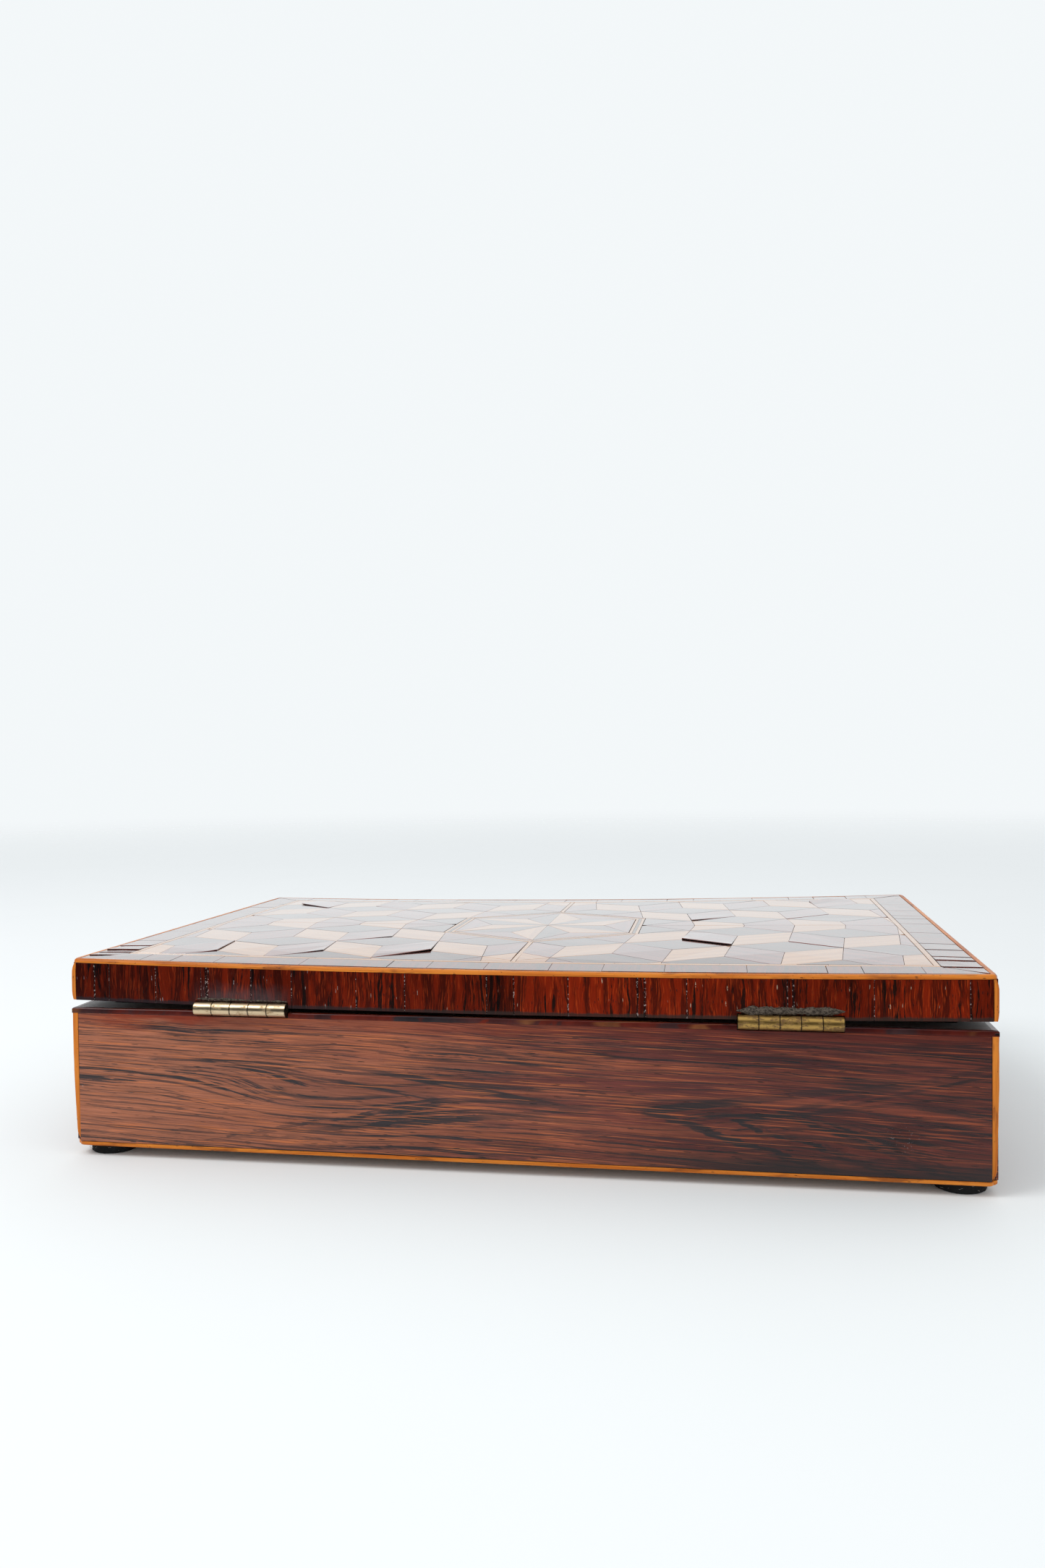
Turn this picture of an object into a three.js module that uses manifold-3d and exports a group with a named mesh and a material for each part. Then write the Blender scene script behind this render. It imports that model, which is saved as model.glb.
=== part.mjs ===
// A hinged parquetry box: a carcase of boards under saw-cut veneer, pale stringing along every
// outer edge, and a shallow lid laid with tumbling blocks around a six-pointed star.
// Millimetres, +Z up. The front, with the keyhole, faces -Y and the hinges are at the back, +Y.
// The origin is the centre of the bounding box on the surface that the felt feet stand on.
import * as THREE from "three";
import { mergeVertices } from "three/addons/utils/BufferGeometryUtils.js";
import Module from "manifold-3d";

const wasm = await Module();
wasm.setup();

// ---- Driving dimensions -------------------------------------------------------------------

// Overall sizes of the case, over its veneers.
const WIDTH = 300;
const DEPTH = 190;
const BASE_HEIGHT = 47;
const LID_HEIGHT = 14;
const SEAM = 1.2; // daylight between base and lid at the middle of the lid

// The lid has moved with age: its ends curl up, and its front edge has gone into wind.
const LID_BOW = 1.6;
const LID_WIND = 1.9;

// Carcase boards.
const WALL = 9;
const BOTTOM_BOARD = 6;
const LID_RAIL_HEIGHT = 8;

// Veneer and stringing. GLUE is the joint line between neighbouring pieces.
const VENEER = 1;
const GLUE = 0.15;
const EDGE_RISE = 1.3; // height of the horizontal edge strings
const EDGE_RUN = 2; // their width
const BASE_CORNER = 2.1; // side of the square strings up the base's corners
const LID_CORNER = 1.5; // side of the square strings up the lid's corners

// The lid's top, from the edge inwards: edge string, cross-banding, field string, parquetry.
const BAND_LONG = 10.5; // cross-banding along the front and back
const BAND_END = 12.5; // cross-banding at the two ends
const FIELD_STRING = 1.8;
const LOZENGE = 22.5; // side of every lozenge in the blocks and in the star
const STAR_STRING = 3.6; // the triple string round the star

// Linings.
const LINING = 0.8;
const LINING_FLOOR = 1.5;
const LINING_DROP = 2; // how far the wall lining stops below the rim

// Butt hinges with five knuckles.
const HINGE_LENGTH = 32;
const HINGE_INSET = 45; // from the end of the box to the near end of the hinge
const KNUCKLES = 5;
const KNUCKLE_RADIUS = 2.2;
const KNUCKLE_GAP = 0.15;
const PIN_RADIUS = 0.82;
const PIN_PLAY = 0.08;
const PIN_OUT = 0.6; // how far the pin's axis stands behind the back of the box
const PIN_RISE = 1; // how far it stands above the base's rim
const LEAF = 1; // thickness of a leaf
const LEAF_MARGIN = 1.3; // wood left between a leaf and the inside of the wall
const LEAF_TO_KNUCKLE = 0.6; // clearance that a leaf's plate keeps from the barrel
const MORTISE_PLAY = 0.2; // clearance round a leaf, a knuckle or a lock plate in the wood

// Countersunk wood screws, two in each leaf.
const SCREW_LENGTH = 6.6;
const SCREW_SPACING = 18;
const SHANK_RADIUS = 1;
const HEAD_RADIUS = 1.8;
const HEAD_DEPTH = 0.8;
const SCREW_PLAY = 0.15;
const SLOT_WIDTH = 0.5;
const SLOT_DEPTH = 0.35;

// Felt feet.
const FOOT_RADIUS = 8;
const FOOT_HEIGHT = 3.5;
const FOOT_INSET_X = 9.7; // from the end of the box to a foot's centre
const FOOT_INSET_Y = 10;

// Box lock, with a link plate in the lid.
const LOCK_WIDTH = 32;
const LOCK_DEEP = 6.5; // into the front wall from its inner face
const LOCK_DROP = 20; // below the rim
const LOCK_SHELL = 1;
const LOCK_PLATE = 1.2; // thickness of the selvedge and of the link plate
const PLATE_LENGTH = 42;
const PLATE_MARGIN = 1; // wood left in front of the plates, behind the veneer
const LINK_SPACING = 14;
const LINK_THICK = 1.6;
const LINK_WIDE = 3.6;
const LINK_DROP = 8;
const LINK_EYE = 2.6; // height of the eye that the bolt enters
const LINK_CHEEK = 0.8; // metal left each side of the eye
const LINK_PLAY = 0.4;
const BOLT_THROW = 4;
const BOLT_THICK = 1.2;
const BOLT_BAR = 3; // height of the bolt's bar
const BOLT_DROP = 5.9; // from the middle of the eyes to the underside of the bar
const BOLT_END_PLAY = 0.6; // room left at each end of the bar's travel
const HOOK_POST = 1.8; // width of a hook's upright
const HOOK_NOSE = 1.6; // height of the nose that enters the eye
const KEYHOLE_RADIUS = 1.7;
const KEYHOLE_SLOT = 1.8;
const KEYHOLE_LENGTH = 4.6;
const KEYHOLE_DROP = 14; // from the rim to the middle of the keyhole's round
const ESCUTCHEON_WIDE = 15;
const ESCUTCHEON_TALL = 21;

// ---- Levels and planes that follow from them ----------------------------------------------

const halfX = WIDTH / 2;
const halfY = DEPTH / 2;
const coreX = halfX - VENEER; // outer faces of the carcase boards
const coreY = halfY - VENEER;
const insideX = coreX - WALL;
const insideY = coreY - WALL;
const footTop = FOOT_HEIGHT;
const boardTop = footTop + BOTTOM_BOARD;
const rim = footTop + BASE_HEIGHT;
const lidBottom = rim + SEAM;
const lidTop = lidBottom + LID_HEIGHT;
const railTop = lidBottom + LID_RAIL_HEIGHT;
const veneerBed = lidTop - VENEER - GLUE; // top of the lid's board
const stringBed = lidTop - EDGE_RISE - GLUE;
const pin = { y: halfY + PIN_OUT, z: rim + PIN_RISE };
const hingeX = halfX - HINGE_INSET - HINGE_LENGTH / 2;
const bandX = halfX - EDGE_RUN; // outer edge of the cross-banding
const bandY = halfY - EDGE_RUN;
const stringX = bandX - BAND_END; // outer edge of the field string
const stringY = bandY - BAND_LONG;
const fieldX = stringX - FIELD_STRING;
const fieldY = stringY - FIELD_STRING;
const starApothem = (LOZENGE * 3) / 2; // to the flat sides of the hexagon that holds the star

// ---- Materials ----------------------------------------------------------------------------

const finish = (color, roughness, metalness = 0) =>
  new THREE.MeshStandardMaterial({ color, roughness, metalness });
const pine = finish(0xb98d5c, 0.8);
const rosewood = finish(0x5a2c22, 0.3);
const crossgrain = finish(0x44160c, 0.28);
const boxwood = finish(0xc4803f, 0.35);
const parquetry = finish(0x8a5a3c, 0.25);
const velvet = finish(0x3c1620, 0.95);
const felt = finish(0x16181a, 1);
const brass = finish(0xa98850, 0.4, 1);
const steel = finish(0x77736c, 0.45, 1);

// ---- Making and cutting solids ------------------------------------------------------------

// A box between two corners.
function block(x0, x1, y0, y1, z0, z1) {
  const g = new THREE.BoxGeometry(x1 - x0, y1 - y0, z1 - z0);
  return g.translate((x0 + x1) / 2, (y0 + y1) / 2, (z0 + z1) / 2);
}

// A round bar along X.
function rod(radius, x0, x1, y, z) {
  const g = new THREE.CylinderGeometry(radius, radius, x1 - x0, 24);
  return g.rotateZ(Math.PI / 2).translate((x0 + x1) / 2, y, z);
}

// A flat outline in X and Y, with holes, raised from z0 to z1.
function slab(outline, z0, z1, holes = []) {
  const points = (list) => list.map(([x, y]) => new THREE.Vector2(x, y));
  const shape = new THREE.Shape(points(outline));
  shape.holes = holes.map((h) => new THREE.Path(points(h)));
  const g = new THREE.ExtrudeGeometry(shape, { depth: z1 - z0, bevelEnabled: false });
  return g.translate(0, 0, z0);
}

const rectangle = (x, y) => [[-x, -y], [x, -y], [x, y], [-x, y]];

// A hexagon whose points are to the front and back.
function hexagon(apothem) {
  const radius = apothem / Math.cos(Math.PI / 6);
  return Array.from({ length: 6 }, (_, i) => {
    const turn = Math.PI / 6 + (i * Math.PI) / 3;
    return [radius * Math.cos(turn), radius * Math.sin(turn)];
  });
}

function toSolid(geometry) {
  if (!geometry.isBufferGeometry) return geometry;
  const bare = geometry.clone().deleteAttribute("normal").deleteAttribute("uv");
  const merged = mergeVertices(bare, 1e-4);
  return new wasm.Manifold(
    new wasm.Mesh({
      numProp: 3,
      vertProperties: merged.attributes.position.array,
      triVerts: new Uint32Array(merged.index.array),
    }),
  );
}

function toGeometry(solid) {
  if (solid.isBufferGeometry) return solid;
  const mesh = solid.getMesh();
  return new THREE.BufferGeometry()
    .setAttribute("position", new THREE.BufferAttribute(mesh.vertProperties, 3))
    .setIndex(new THREE.BufferAttribute(mesh.triVerts, 1));
}

const cut = (body, ...tools) => tools.reduce((s, t) => s.subtract(toSolid(t)), toSolid(body));
const join = (...bodies) => bodies.slice(1).reduce((s, b) => s.add(toSolid(b)), toSolid(bodies[0]));

// How far the lid has lifted from flat at a point of its plan.
function lidLift(x, y) {
  const across = x / halfX;
  return LID_BOW * across ** 2 - LID_WIND * across * (0.5 - y / DEPTH);
}

// Gives a flat piece of the lid the lid's curve. Edges that are too long to follow the curve are
// halved first, in every triangle that they belong to, so the surface stays closed.
function bend(body) {
  const LONGEST = { x: 38, y: 50 };
  const flat = toGeometry(body);
  const position = (flat.index ? flat.toNonIndexed() : flat).getAttribute("position");
  const bent = [];
  const pending = [];
  for (let i = 0; i < position.count; i += 3) {
    pending.push([0, 1, 2].map((k) => new THREE.Vector3().fromBufferAttribute(position, i + k)));
  }
  const length = (p, q) => Math.max(Math.abs(p.x - q.x) / LONGEST.x, Math.abs(p.y - q.y) / LONGEST.y);
  while (pending.length) {
    const corners = pending.pop();
    const lengths = corners.map((p, k) => length(p, corners[(k + 1) % 3]));
    const k = lengths.indexOf(Math.max(...lengths));
    const [a, b, c] = [corners[k], corners[(k + 1) % 3], corners[(k + 2) % 3]];
    if (lengths[k] > 1) {
      const middle = new THREE.Vector3().addVectors(a, b).multiplyScalar(0.5);
      pending.push([a, middle, c], [middle, b, c]);
    } else {
      for (const p of [a, b, c]) bent.push(p.x, p.y, p.z + lidLift(p.x, p.y));
    }
  }
  return new THREE.BufferGeometry().setAttribute("position", new THREE.Float32BufferAttribute(bent, 3));
}

const box = new THREE.Group();

function add(name, body, material) {
  const geometry = toGeometry(body);
  geometry.computeVertexNormals();
  const mesh = new THREE.Mesh(geometry, material);
  mesh.name = name;
  box.add(mesh);
}

const ends = [["left", -1], ["right", 1]];
const sides = [["front", -1], ["back", 1]];
const corners = sides.flatMap(([side, sy]) => ends.map(([end, sx]) => [`${side}_${end}`, sx, sy]));

// A box given by distances from the middle, put on the side of it that sign says.
const span = (sign, near, far) => (sign > 0 ? [near, far] : [-far, -near]);

// ---- Cutters shared by the wood round each fitting ----------------------------------------

const leafFront = coreY - WALL + LEAF_MARGIN;
const leafBack = pin.y - KNUCKLE_RADIUS - LEAF_TO_KNUCKLE;
const screwY = (leafFront + leafBack) / 2;
const baseLeafTop = rim;
const lidLeafBottom = lidBottom + lidLift(hingeX - HINGE_LENGTH / 2, halfY);
const screwXs = (x) => [x - SCREW_SPACING / 2, x + SCREW_SPACING / 2];

// The bed for both leaves, open at the back of the box, and the trough round the knuckles.
function hingeMortise(x, z0, z1) {
  const reach = HINGE_LENGTH / 2 + MORTISE_PLAY;
  const bed = block(x - reach, x + reach, leafFront - MORTISE_PLAY, halfY + 1, z0, z1);
  const trough = rod(KNUCKLE_RADIUS + 2 * MORTISE_PLAY, x - reach, x + reach, pin.y, pin.z);
  return join(bed, trough);
}

const baseMortise = (x) => hingeMortise(x, baseLeafTop - LEAF - MORTISE_PLAY, rim + 1);
const lidMortise = (x) =>
  hingeMortise(x, lidBottom - 1, lidLeafBottom + LEAF + MORTISE_PLAY);

// A screw's outline turned about its axis, head up at z = 0. play widens it into its own hole.
function screwShape(play, headPlay = play) {
  const tip = SCREW_LENGTH + play;
  const profile = [
    [0, -tip],
    [SHANK_RADIUS + play, -tip + SHANK_RADIUS],
    [SHANK_RADIUS + play, -HEAD_DEPTH],
    [HEAD_RADIUS + headPlay, 0],
    [HEAD_RADIUS + headPlay, play],
    [0, play],
  ];
  const turned = new THREE.LatheGeometry(profile.map(([r, z]) => new THREE.Vector2(r, z)), 16);
  return turned.rotateX(Math.PI / 2);
}

const screwHole = (x, y, z) => screwShape(SCREW_PLAY).translate(x, y, z);
const raisedScrewHole = (x, y, z) => screwShape(SCREW_PLAY).rotateX(Math.PI).translate(x, y, z);

// The lock's plates lie in the front wall's rim and in the lid's front rail.
const plateBack = -insideY;
const plateFront = -(coreY - PLATE_MARGIN);
const lockBack = -insideY;
const lockFront = lockBack - LOCK_DEEP;
const lockBottom = rim - LOCK_DROP;
const linkY = (lockBack + lockFront) / 2;
const linkXs = [-LINK_SPACING / 2, LINK_SPACING / 2];
const eyeZ = lidBottom - LINK_DROP + LINK_CHEEK + LINK_EYE / 2;

function lockMortise() {
  const p = MORTISE_PLAY;
  const bodyX = LOCK_WIDTH / 2 + p;
  const plateX = PLATE_LENGTH / 2 + p;
  return join(
    block(-bodyX, bodyX, lockFront - p, lockBack + 1, lockBottom - p, rim + 1),
    block(-plateX, plateX, plateFront - p, plateBack + 1, rim - LOCK_PLATE - p, rim + 1),
  );
}

// A keyhole right through the front, from y0 to y1.
function keyhole(y0, y1, play = 0) {
  const z = rim - KEYHOLE_DROP;
  const slot = KEYHOLE_SLOT / 2 + play;
  const round = new THREE.CylinderGeometry(KEYHOLE_RADIUS + play, KEYHOLE_RADIUS + play, y1 - y0, 20);
  return join(
    round.translate(0, (y0 + y1) / 2, z),
    block(-slot, slot, y0, y1, z - KEYHOLE_LENGTH - play, z),
  );
}

// ---- Base carcase -------------------------------------------------------------------------

const rebate = BASE_CORNER - VENEER + GLUE;

// What the corner strings take from the boards behind them.
const cornerRebates = (size, z0, z1) =>
  corners.map(([, sx, sy]) =>
    block(...span(sx, coreX - size, coreX + 1), ...span(sy, coreY - size, coreY + 1), z0, z1),
  );

const wallBase = boardTop + GLUE;
const frontWall = block(-coreX, coreX, -coreY, -insideY, wallBase, rim);
const backWall = block(-coreX, coreX, insideY, coreY, wallBase, rim);
const hingeXs = ends.map(([, sx]) => sx * hingeX);
const baseScrewHoles = hingeXs.flatMap((x) => screwXs(x).map((sx) => screwHole(sx, screwY, rim)));
const baseRebates = cornerRebates(rebate, footTop - 1, rim + 1);

add("base_front_wall", cut(frontWall, ...baseRebates, lockMortise(), keyhole(-halfY, lockFront, 0.3)), pine);
add("base_back_wall", cut(backWall, ...baseRebates, ...hingeXs.map(baseMortise), ...baseScrewHoles), pine);
for (const [end, sx] of ends) {
  const reach = insideY - GLUE;
  add(`base_${end}_wall`, block(...span(sx, insideX, coreX), -reach, reach, wallBase, rim), pine);
}

const shelf = footTop + EDGE_RISE + GLUE;
const bottomBoard = join(
  block(-bandX + GLUE, bandX - GLUE, -bandY + GLUE, bandY - GLUE, footTop, boardTop),
  block(-coreX, coreX, -coreY, coreY, shelf, boardTop),
);
add("base_bottom_board", cut(bottomBoard, ...cornerRebates(rebate, shelf - 1, boardTop + 1)), pine);

// ---- Base veneers and stringing -----------------------------------------------------------

const stile = BASE_CORNER + GLUE; // from the end of the box to the edge of a veneer
const baseFace = [shelf, rim];
const escutcheonZ = rim - KEYHOLE_DROP - KEYHOLE_LENGTH / 2;

// A lozenge-shaped plate let into the front veneer, or its bed when play is given.
function escutcheon(play = 0) {
  const wide = ESCUTCHEON_WIDE / 2 + play;
  const tall = ESCUTCHEON_TALL / 2 + play;
  const thick = VENEER + play;
  const plate = slab([[-wide, 0], [0, -tall], [wide, 0], [0, tall]], 0, thick);
  return plate.rotateX(Math.PI / 2).translate(0, -halfY + VENEER, escutcheonZ);
}

const faceX = halfX - stile;
const faceY = halfY - stile;
add(
  "base_front_veneer",
  cut(block(-faceX, faceX, -halfY, -coreY - GLUE, ...baseFace), escutcheon(GLUE)),
  rosewood,
);
add(
  "base_back_veneer",
  cut(block(-faceX, faceX, coreY + GLUE, halfY, ...baseFace), ...hingeXs.map(baseMortise)),
  rosewood,
);
for (const [end, sx] of ends) {
  add(
    `base_${end}_veneer`,
    block(...span(sx, coreX + GLUE, halfX), -faceY, faceY, ...baseFace),
    rosewood,
  );
}
for (const [corner, sx, sy] of corners) {
  const x = span(sx, halfX - BASE_CORNER, halfX);
  const y = span(sy, halfY - BASE_CORNER, halfY);
  add(`base_corner_string_${corner}`, block(...x, ...y, ...baseFace), boxwood);
}
add(
  "base_bottom_string",
  slab(rectangle(halfX, halfY), footTop, footTop + EDGE_RISE, [rectangle(bandX, bandY)]),
  boxwood,
);

for (const [corner, sx, sy] of corners) {
  const foot = new THREE.CylinderGeometry(FOOT_RADIUS, FOOT_RADIUS, FOOT_HEIGHT - GLUE, 32);
  foot.rotateX(Math.PI / 2);
  foot.translate(
    sx * (halfX - FOOT_INSET_X),
    sy * (halfY - FOOT_INSET_Y),
    (FOOT_HEIGHT - GLUE) / 2,
  );
  add(`felt_foot_${corner}`, foot, felt);
}

const trayX = insideX - GLUE;
const trayY = insideY - GLUE;
const trayBottom = boardTop + GLUE;
add(
  "base_lining",
  cut(
    block(-trayX, trayX, -trayY, trayY, trayBottom, rim - LINING_DROP),
    block(
      ...[-trayX + LINING, trayX - LINING],
      ...[-trayY + LINING, trayY - LINING],
      ...[trayBottom + LINING_FLOOR, rim],
    ),
  ),
  velvet,
);

// ---- Lid carcase --------------------------------------------------------------------------

const lidBoard = join(
  block(-coreX, coreX, -coreY, coreY, railTop, stringBed),
  block(-bandX + GLUE, bandX - GLUE, -bandY + GLUE, bandY - GLUE, railTop, veneerBed),
);
const lidRebates = cornerRebates(LID_CORNER - VENEER + GLUE, lidBottom - 5, lidTop + 5);
const lidScrewHoles = hingeXs.flatMap((x) =>
  screwXs(x).map((sx) => raisedScrewHole(sx, screwY, lidLeafBottom)),
);
add("lid_board", cut(bend(cut(lidBoard, ...lidRebates)), ...lidScrewHoles), pine);

const frontRail = block(-coreX, coreX, -coreY, -insideY, lidBottom, railTop - GLUE);
const backRail = block(-coreX, coreX, insideY, coreY, lidBottom, railTop - GLUE);
const linkBed = block(
  ...[-PLATE_LENGTH / 2 - MORTISE_PLAY, PLATE_LENGTH / 2 + MORTISE_PLAY],
  ...[plateFront - MORTISE_PLAY, plateBack + 1],
  ...[lidBottom - 2, lidBottom + LOCK_PLATE + MORTISE_PLAY],
);
add("lid_front_rail", cut(bend(cut(frontRail, ...lidRebates)), linkBed), pine);
add(
  "lid_back_rail",
  cut(bend(cut(backRail, ...lidRebates)), ...hingeXs.map(lidMortise), ...lidScrewHoles),
  pine,
);
for (const [end, sx] of ends) {
  const reach = insideY - GLUE;
  const rail = block(...span(sx, insideX, coreX), -reach, reach, lidBottom, railTop - GLUE);
  add(`lid_${end}_rail`, bend(rail), pine);
}

// ---- Lid edges ----------------------------------------------------------------------------

const edgeFace = [lidBottom, stringBed];
const lidFaceX = halfX - LID_CORNER - GLUE;
const lidFaceY = halfY - LID_CORNER - GLUE;
add(
  "lid_front_edge_veneer",
  bend(block(-lidFaceX, lidFaceX, -halfY, -coreY - GLUE, ...edgeFace)),
  crossgrain,
);
add(
  "lid_back_edge_veneer",
  cut(
    bend(block(-lidFaceX, lidFaceX, coreY + GLUE, halfY, ...edgeFace)),
    ...hingeXs.map(lidMortise),
  ),
  crossgrain,
);
for (const [end, sx] of ends) {
  const edge = block(...span(sx, coreX + GLUE, halfX), -lidFaceY, lidFaceY, ...edgeFace);
  add(`lid_${end}_edge_veneer`, bend(edge), crossgrain);
}
for (const [corner, sx, sy] of corners) {
  const x = span(sx, halfX - LID_CORNER, halfX);
  const y = span(sy, halfY - LID_CORNER, halfY);
  add(`lid_corner_string_${corner}`, bend(block(...x, ...y, ...edgeFace)), boxwood);
}
add(
  "lid_top_string",
  bend(slab(rectangle(halfX, halfY), lidTop - EDGE_RISE, lidTop, [rectangle(bandX, bandY)])),
  boxwood,
);

// ---- Lid top ------------------------------------------------------------------------------

const topLayer = [lidTop - VENEER, lidTop];

// Four mitred lengths of cross-banding.
for (const [side, sy] of sides) {
  const outer = bandX - 2 * GLUE;
  const inner = stringX - GLUE;
  const y = [sy * (bandY - GLUE), sy * (stringY + GLUE)];
  const outline = [[-outer, y[0]], [outer, y[0]], [inner, y[1]], [-inner, y[1]]];
  add(`lid_${side}_crossband`, bend(slab(outline, ...topLayer)), crossgrain);
}
for (const [end, sx] of ends) {
  const outer = bandY - 2 * GLUE;
  const inner = stringY - GLUE;
  const x = [sx * (bandX - GLUE), sx * (stringX + GLUE)];
  const outline = [[x[0], -outer], [x[0], outer], [x[1], inner], [x[1], -inner]];
  add(`lid_${end}_crossband`, bend(slab(outline, ...topLayer)), crossgrain);
}

add(
  "lid_field_string",
  bend(slab(rectangle(stringX, stringY), ...topLayer, [rectangle(fieldX, fieldY)])),
  boxwood,
);
const starOuter = starApothem + STAR_STRING;
add(
  "parquetry_field",
  bend(slab(rectangle(fieldX - GLUE, fieldY - GLUE), ...topLayer, [hexagon(starOuter + GLUE)])),
  parquetry,
);
add(
  "star_string",
  bend(slab(hexagon(starOuter), ...topLayer, [hexagon(starApothem)])),
  boxwood,
);
add("star_panel", bend(slab(hexagon(starApothem - GLUE), ...topLayer)), parquetry);

add(
  "lid_lining",
  bend(block(-trayX, trayX, -trayY, trayY, railTop - GLUE - LINING_FLOOR, railTop - GLUE)),
  velvet,
);

// ---- Hinges -------------------------------------------------------------------------------

// A leaf: a plate, its own knuckles and the tabs between them, bored for the pin.
function leaf(x, z, firstKnuckle, screwHoles) {
  const pitch = HINGE_LENGTH / KNUCKLES;
  const start = x - HINGE_LENGTH / 2;
  const plate = block(start, start + HINGE_LENGTH, leafFront, leafBack, z, z + LEAF);
  const own = [];
  for (let k = firstKnuckle; k < KNUCKLES; k += 2) {
    const x0 = start + k * pitch + (k > 0 ? KNUCKLE_GAP : 0);
    const x1 = start + (k + 1) * pitch;
    own.push(rod(KNUCKLE_RADIUS, x0, x1, pin.y, pin.z));
    own.push(block(x0, x1, leafBack - 0.5, pin.y - PIN_RADIUS - PIN_PLAY, z, z + LEAF));
  }
  const bore = rod(PIN_RADIUS + PIN_PLAY, start - 1, start + HINGE_LENGTH + 1, pin.y, pin.z);
  return cut(join(plate, ...own), bore, ...screwHoles);
}

// A slotted countersunk screw, head up.
function screw() {
  const reach = HEAD_RADIUS + 1;
  const half = SLOT_WIDTH / 2;
  return toGeometry(cut(screwShape(0), block(-reach, reach, -half, half, -SLOT_DEPTH, 1)));
}

for (const [end, sx] of ends) {
  const x = sx * hingeX;
  const start = x - HINGE_LENGTH / 2;
  const holes = screwXs(x);
  const below = leaf(x, baseLeafTop - LEAF, 0, holes.map((hx) => screwHole(hx, screwY, rim)));
  const above = leaf(x, lidLeafBottom, 1, holes.map((hx) => raisedScrewHole(hx, screwY, lidLeafBottom)));
  add(`${end}_hinge_base_leaf`, below, brass);
  add(`${end}_hinge_lid_leaf`, above, brass);
  add(`${end}_hinge_pin`, rod(PIN_RADIUS, start, start + HINGE_LENGTH, pin.y, pin.z), brass);
  holes.forEach((hx, i) => {
    add(`${end}_hinge_base_screw_${i + 1}`, screw().translate(hx, screwY, rim - 0.05), brass);
    const raised = screw().rotateX(Math.PI).translate(hx, screwY, lidLeafBottom + 0.05);
    add(`${end}_hinge_lid_screw_${i + 1}`, raised, brass);
  });
}

// ---- Lock ---------------------------------------------------------------------------------

const cavity = {
  x: LOCK_WIDTH / 2 - LOCK_SHELL,
  front: lockFront + LOCK_SHELL,
  back: lockBack - LOCK_SHELL,
  bottom: lockBottom + LOCK_SHELL,
  top: rim - LOCK_PLATE,
};
const linkSlots = linkXs.map((x) => {
  const sx = LINK_THICK / 2 + LINK_PLAY;
  const sy = LINK_WIDE / 2 + LINK_PLAY;
  return block(x - sx, x + sx, linkY - sy, linkY + sy, cavity.top - 1, rim + 1);
});
const keyPost = rod(0.7, 0, cavity.back - cavity.front + 0.5, 0, 0)
  .rotateZ(-Math.PI / 2)
  .translate(0, cavity.back + 0.3, rim - KEYHOLE_DROP);
const lockShell = cut(
  join(
    block(-LOCK_WIDTH / 2, LOCK_WIDTH / 2, lockFront, lockBack, lockBottom, rim),
    block(-PLATE_LENGTH / 2, PLATE_LENGTH / 2, plateFront, plateBack, rim - LOCK_PLATE, rim),
  ),
  block(-cavity.x, cavity.x, cavity.front, cavity.back, cavity.bottom, cavity.top),
  ...linkSlots,
  keyhole(lockFront - 1, lockFront + LOCK_SHELL + 0.2),
);
add("lock_case", join(lockShell, keyPost), brass);

// The bolt: a bar with two hooks that enter the eyes of the links as it slides to +X.
const barX = [-cavity.x + BOLT_END_PLAY, cavity.x - BOLT_THROW - BOLT_END_PLAY];
const barZ = [eyeZ - BOLT_DROP, eyeZ - BOLT_DROP + BOLT_BAR];
const boltY = [linkY - BOLT_THICK / 2, linkY + BOLT_THICK / 2];
const noseZ = [eyeZ - HOOK_NOSE / 2, eyeZ + HOOK_NOSE / 2];
const hooks = linkXs.flatMap((x) => {
  const tip = x - LINK_THICK / 2 - LINK_PLAY;
  const post = tip - BOLT_THROW;
  return [
    block(post - HOOK_POST, post, ...boltY, barZ[0] + BOLT_BAR / 2, noseZ[1]),
    block(post - HOOK_POST, tip, ...boltY, ...noseZ),
  ];
});
add(
  "lock_bolt",
  join(block(...barX, ...boltY, ...barZ), ...hooks),
  steel,
);

// The link plate in the lid, with two eyed links that drop through the selvedge.
const links = linkXs.map((x) => {
  const z0 = lidBottom - LINK_DROP;
  const half = LINK_WIDE / 2;
  const eye = half - LINK_CHEEK;
  return cut(
    block(x - LINK_THICK / 2, x + LINK_THICK / 2, linkY - half, linkY + half, z0, lidBottom + 0.5),
    block(x - 5, x + 5, linkY - eye, linkY + eye, eyeZ - LINK_EYE / 2, eyeZ + LINK_EYE / 2),
  );
});
const linkPlate = block(
  ...[-PLATE_LENGTH / 2, PLATE_LENGTH / 2],
  ...[plateFront, plateBack],
  ...[lidBottom, lidBottom + LOCK_PLATE],
);
add("lock_link_plate", join(linkPlate, ...links), brass);
add("keyhole_escutcheon", cut(escutcheon(), keyhole(-halfY - 1, -coreY + 1)), brass);

// The knuckles stand out behind the back, so the case sits forward of the bounding box's centre.
box.position.y = -(PIN_OUT + KNUCKLE_RADIUS) / 2;

export default new THREE.Group().add(box);
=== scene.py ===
# %% [markdown]
# # A hinged box inlaid with tumbling blocks
# This lesson gives an old parquetry box its looks. The solid model already holds every board,
# hinge and screw at its true size and place, so the work here is finish and fine shape: veneer
# laid in small pieces, worn stringing, tarnished brass and velvet. We load the model first.
# Nothing that we add may grow past it.

# %% Load the model
import math
import random

import bmesh
import bpy
from mathutils import Matrix, Vector, noise


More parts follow.
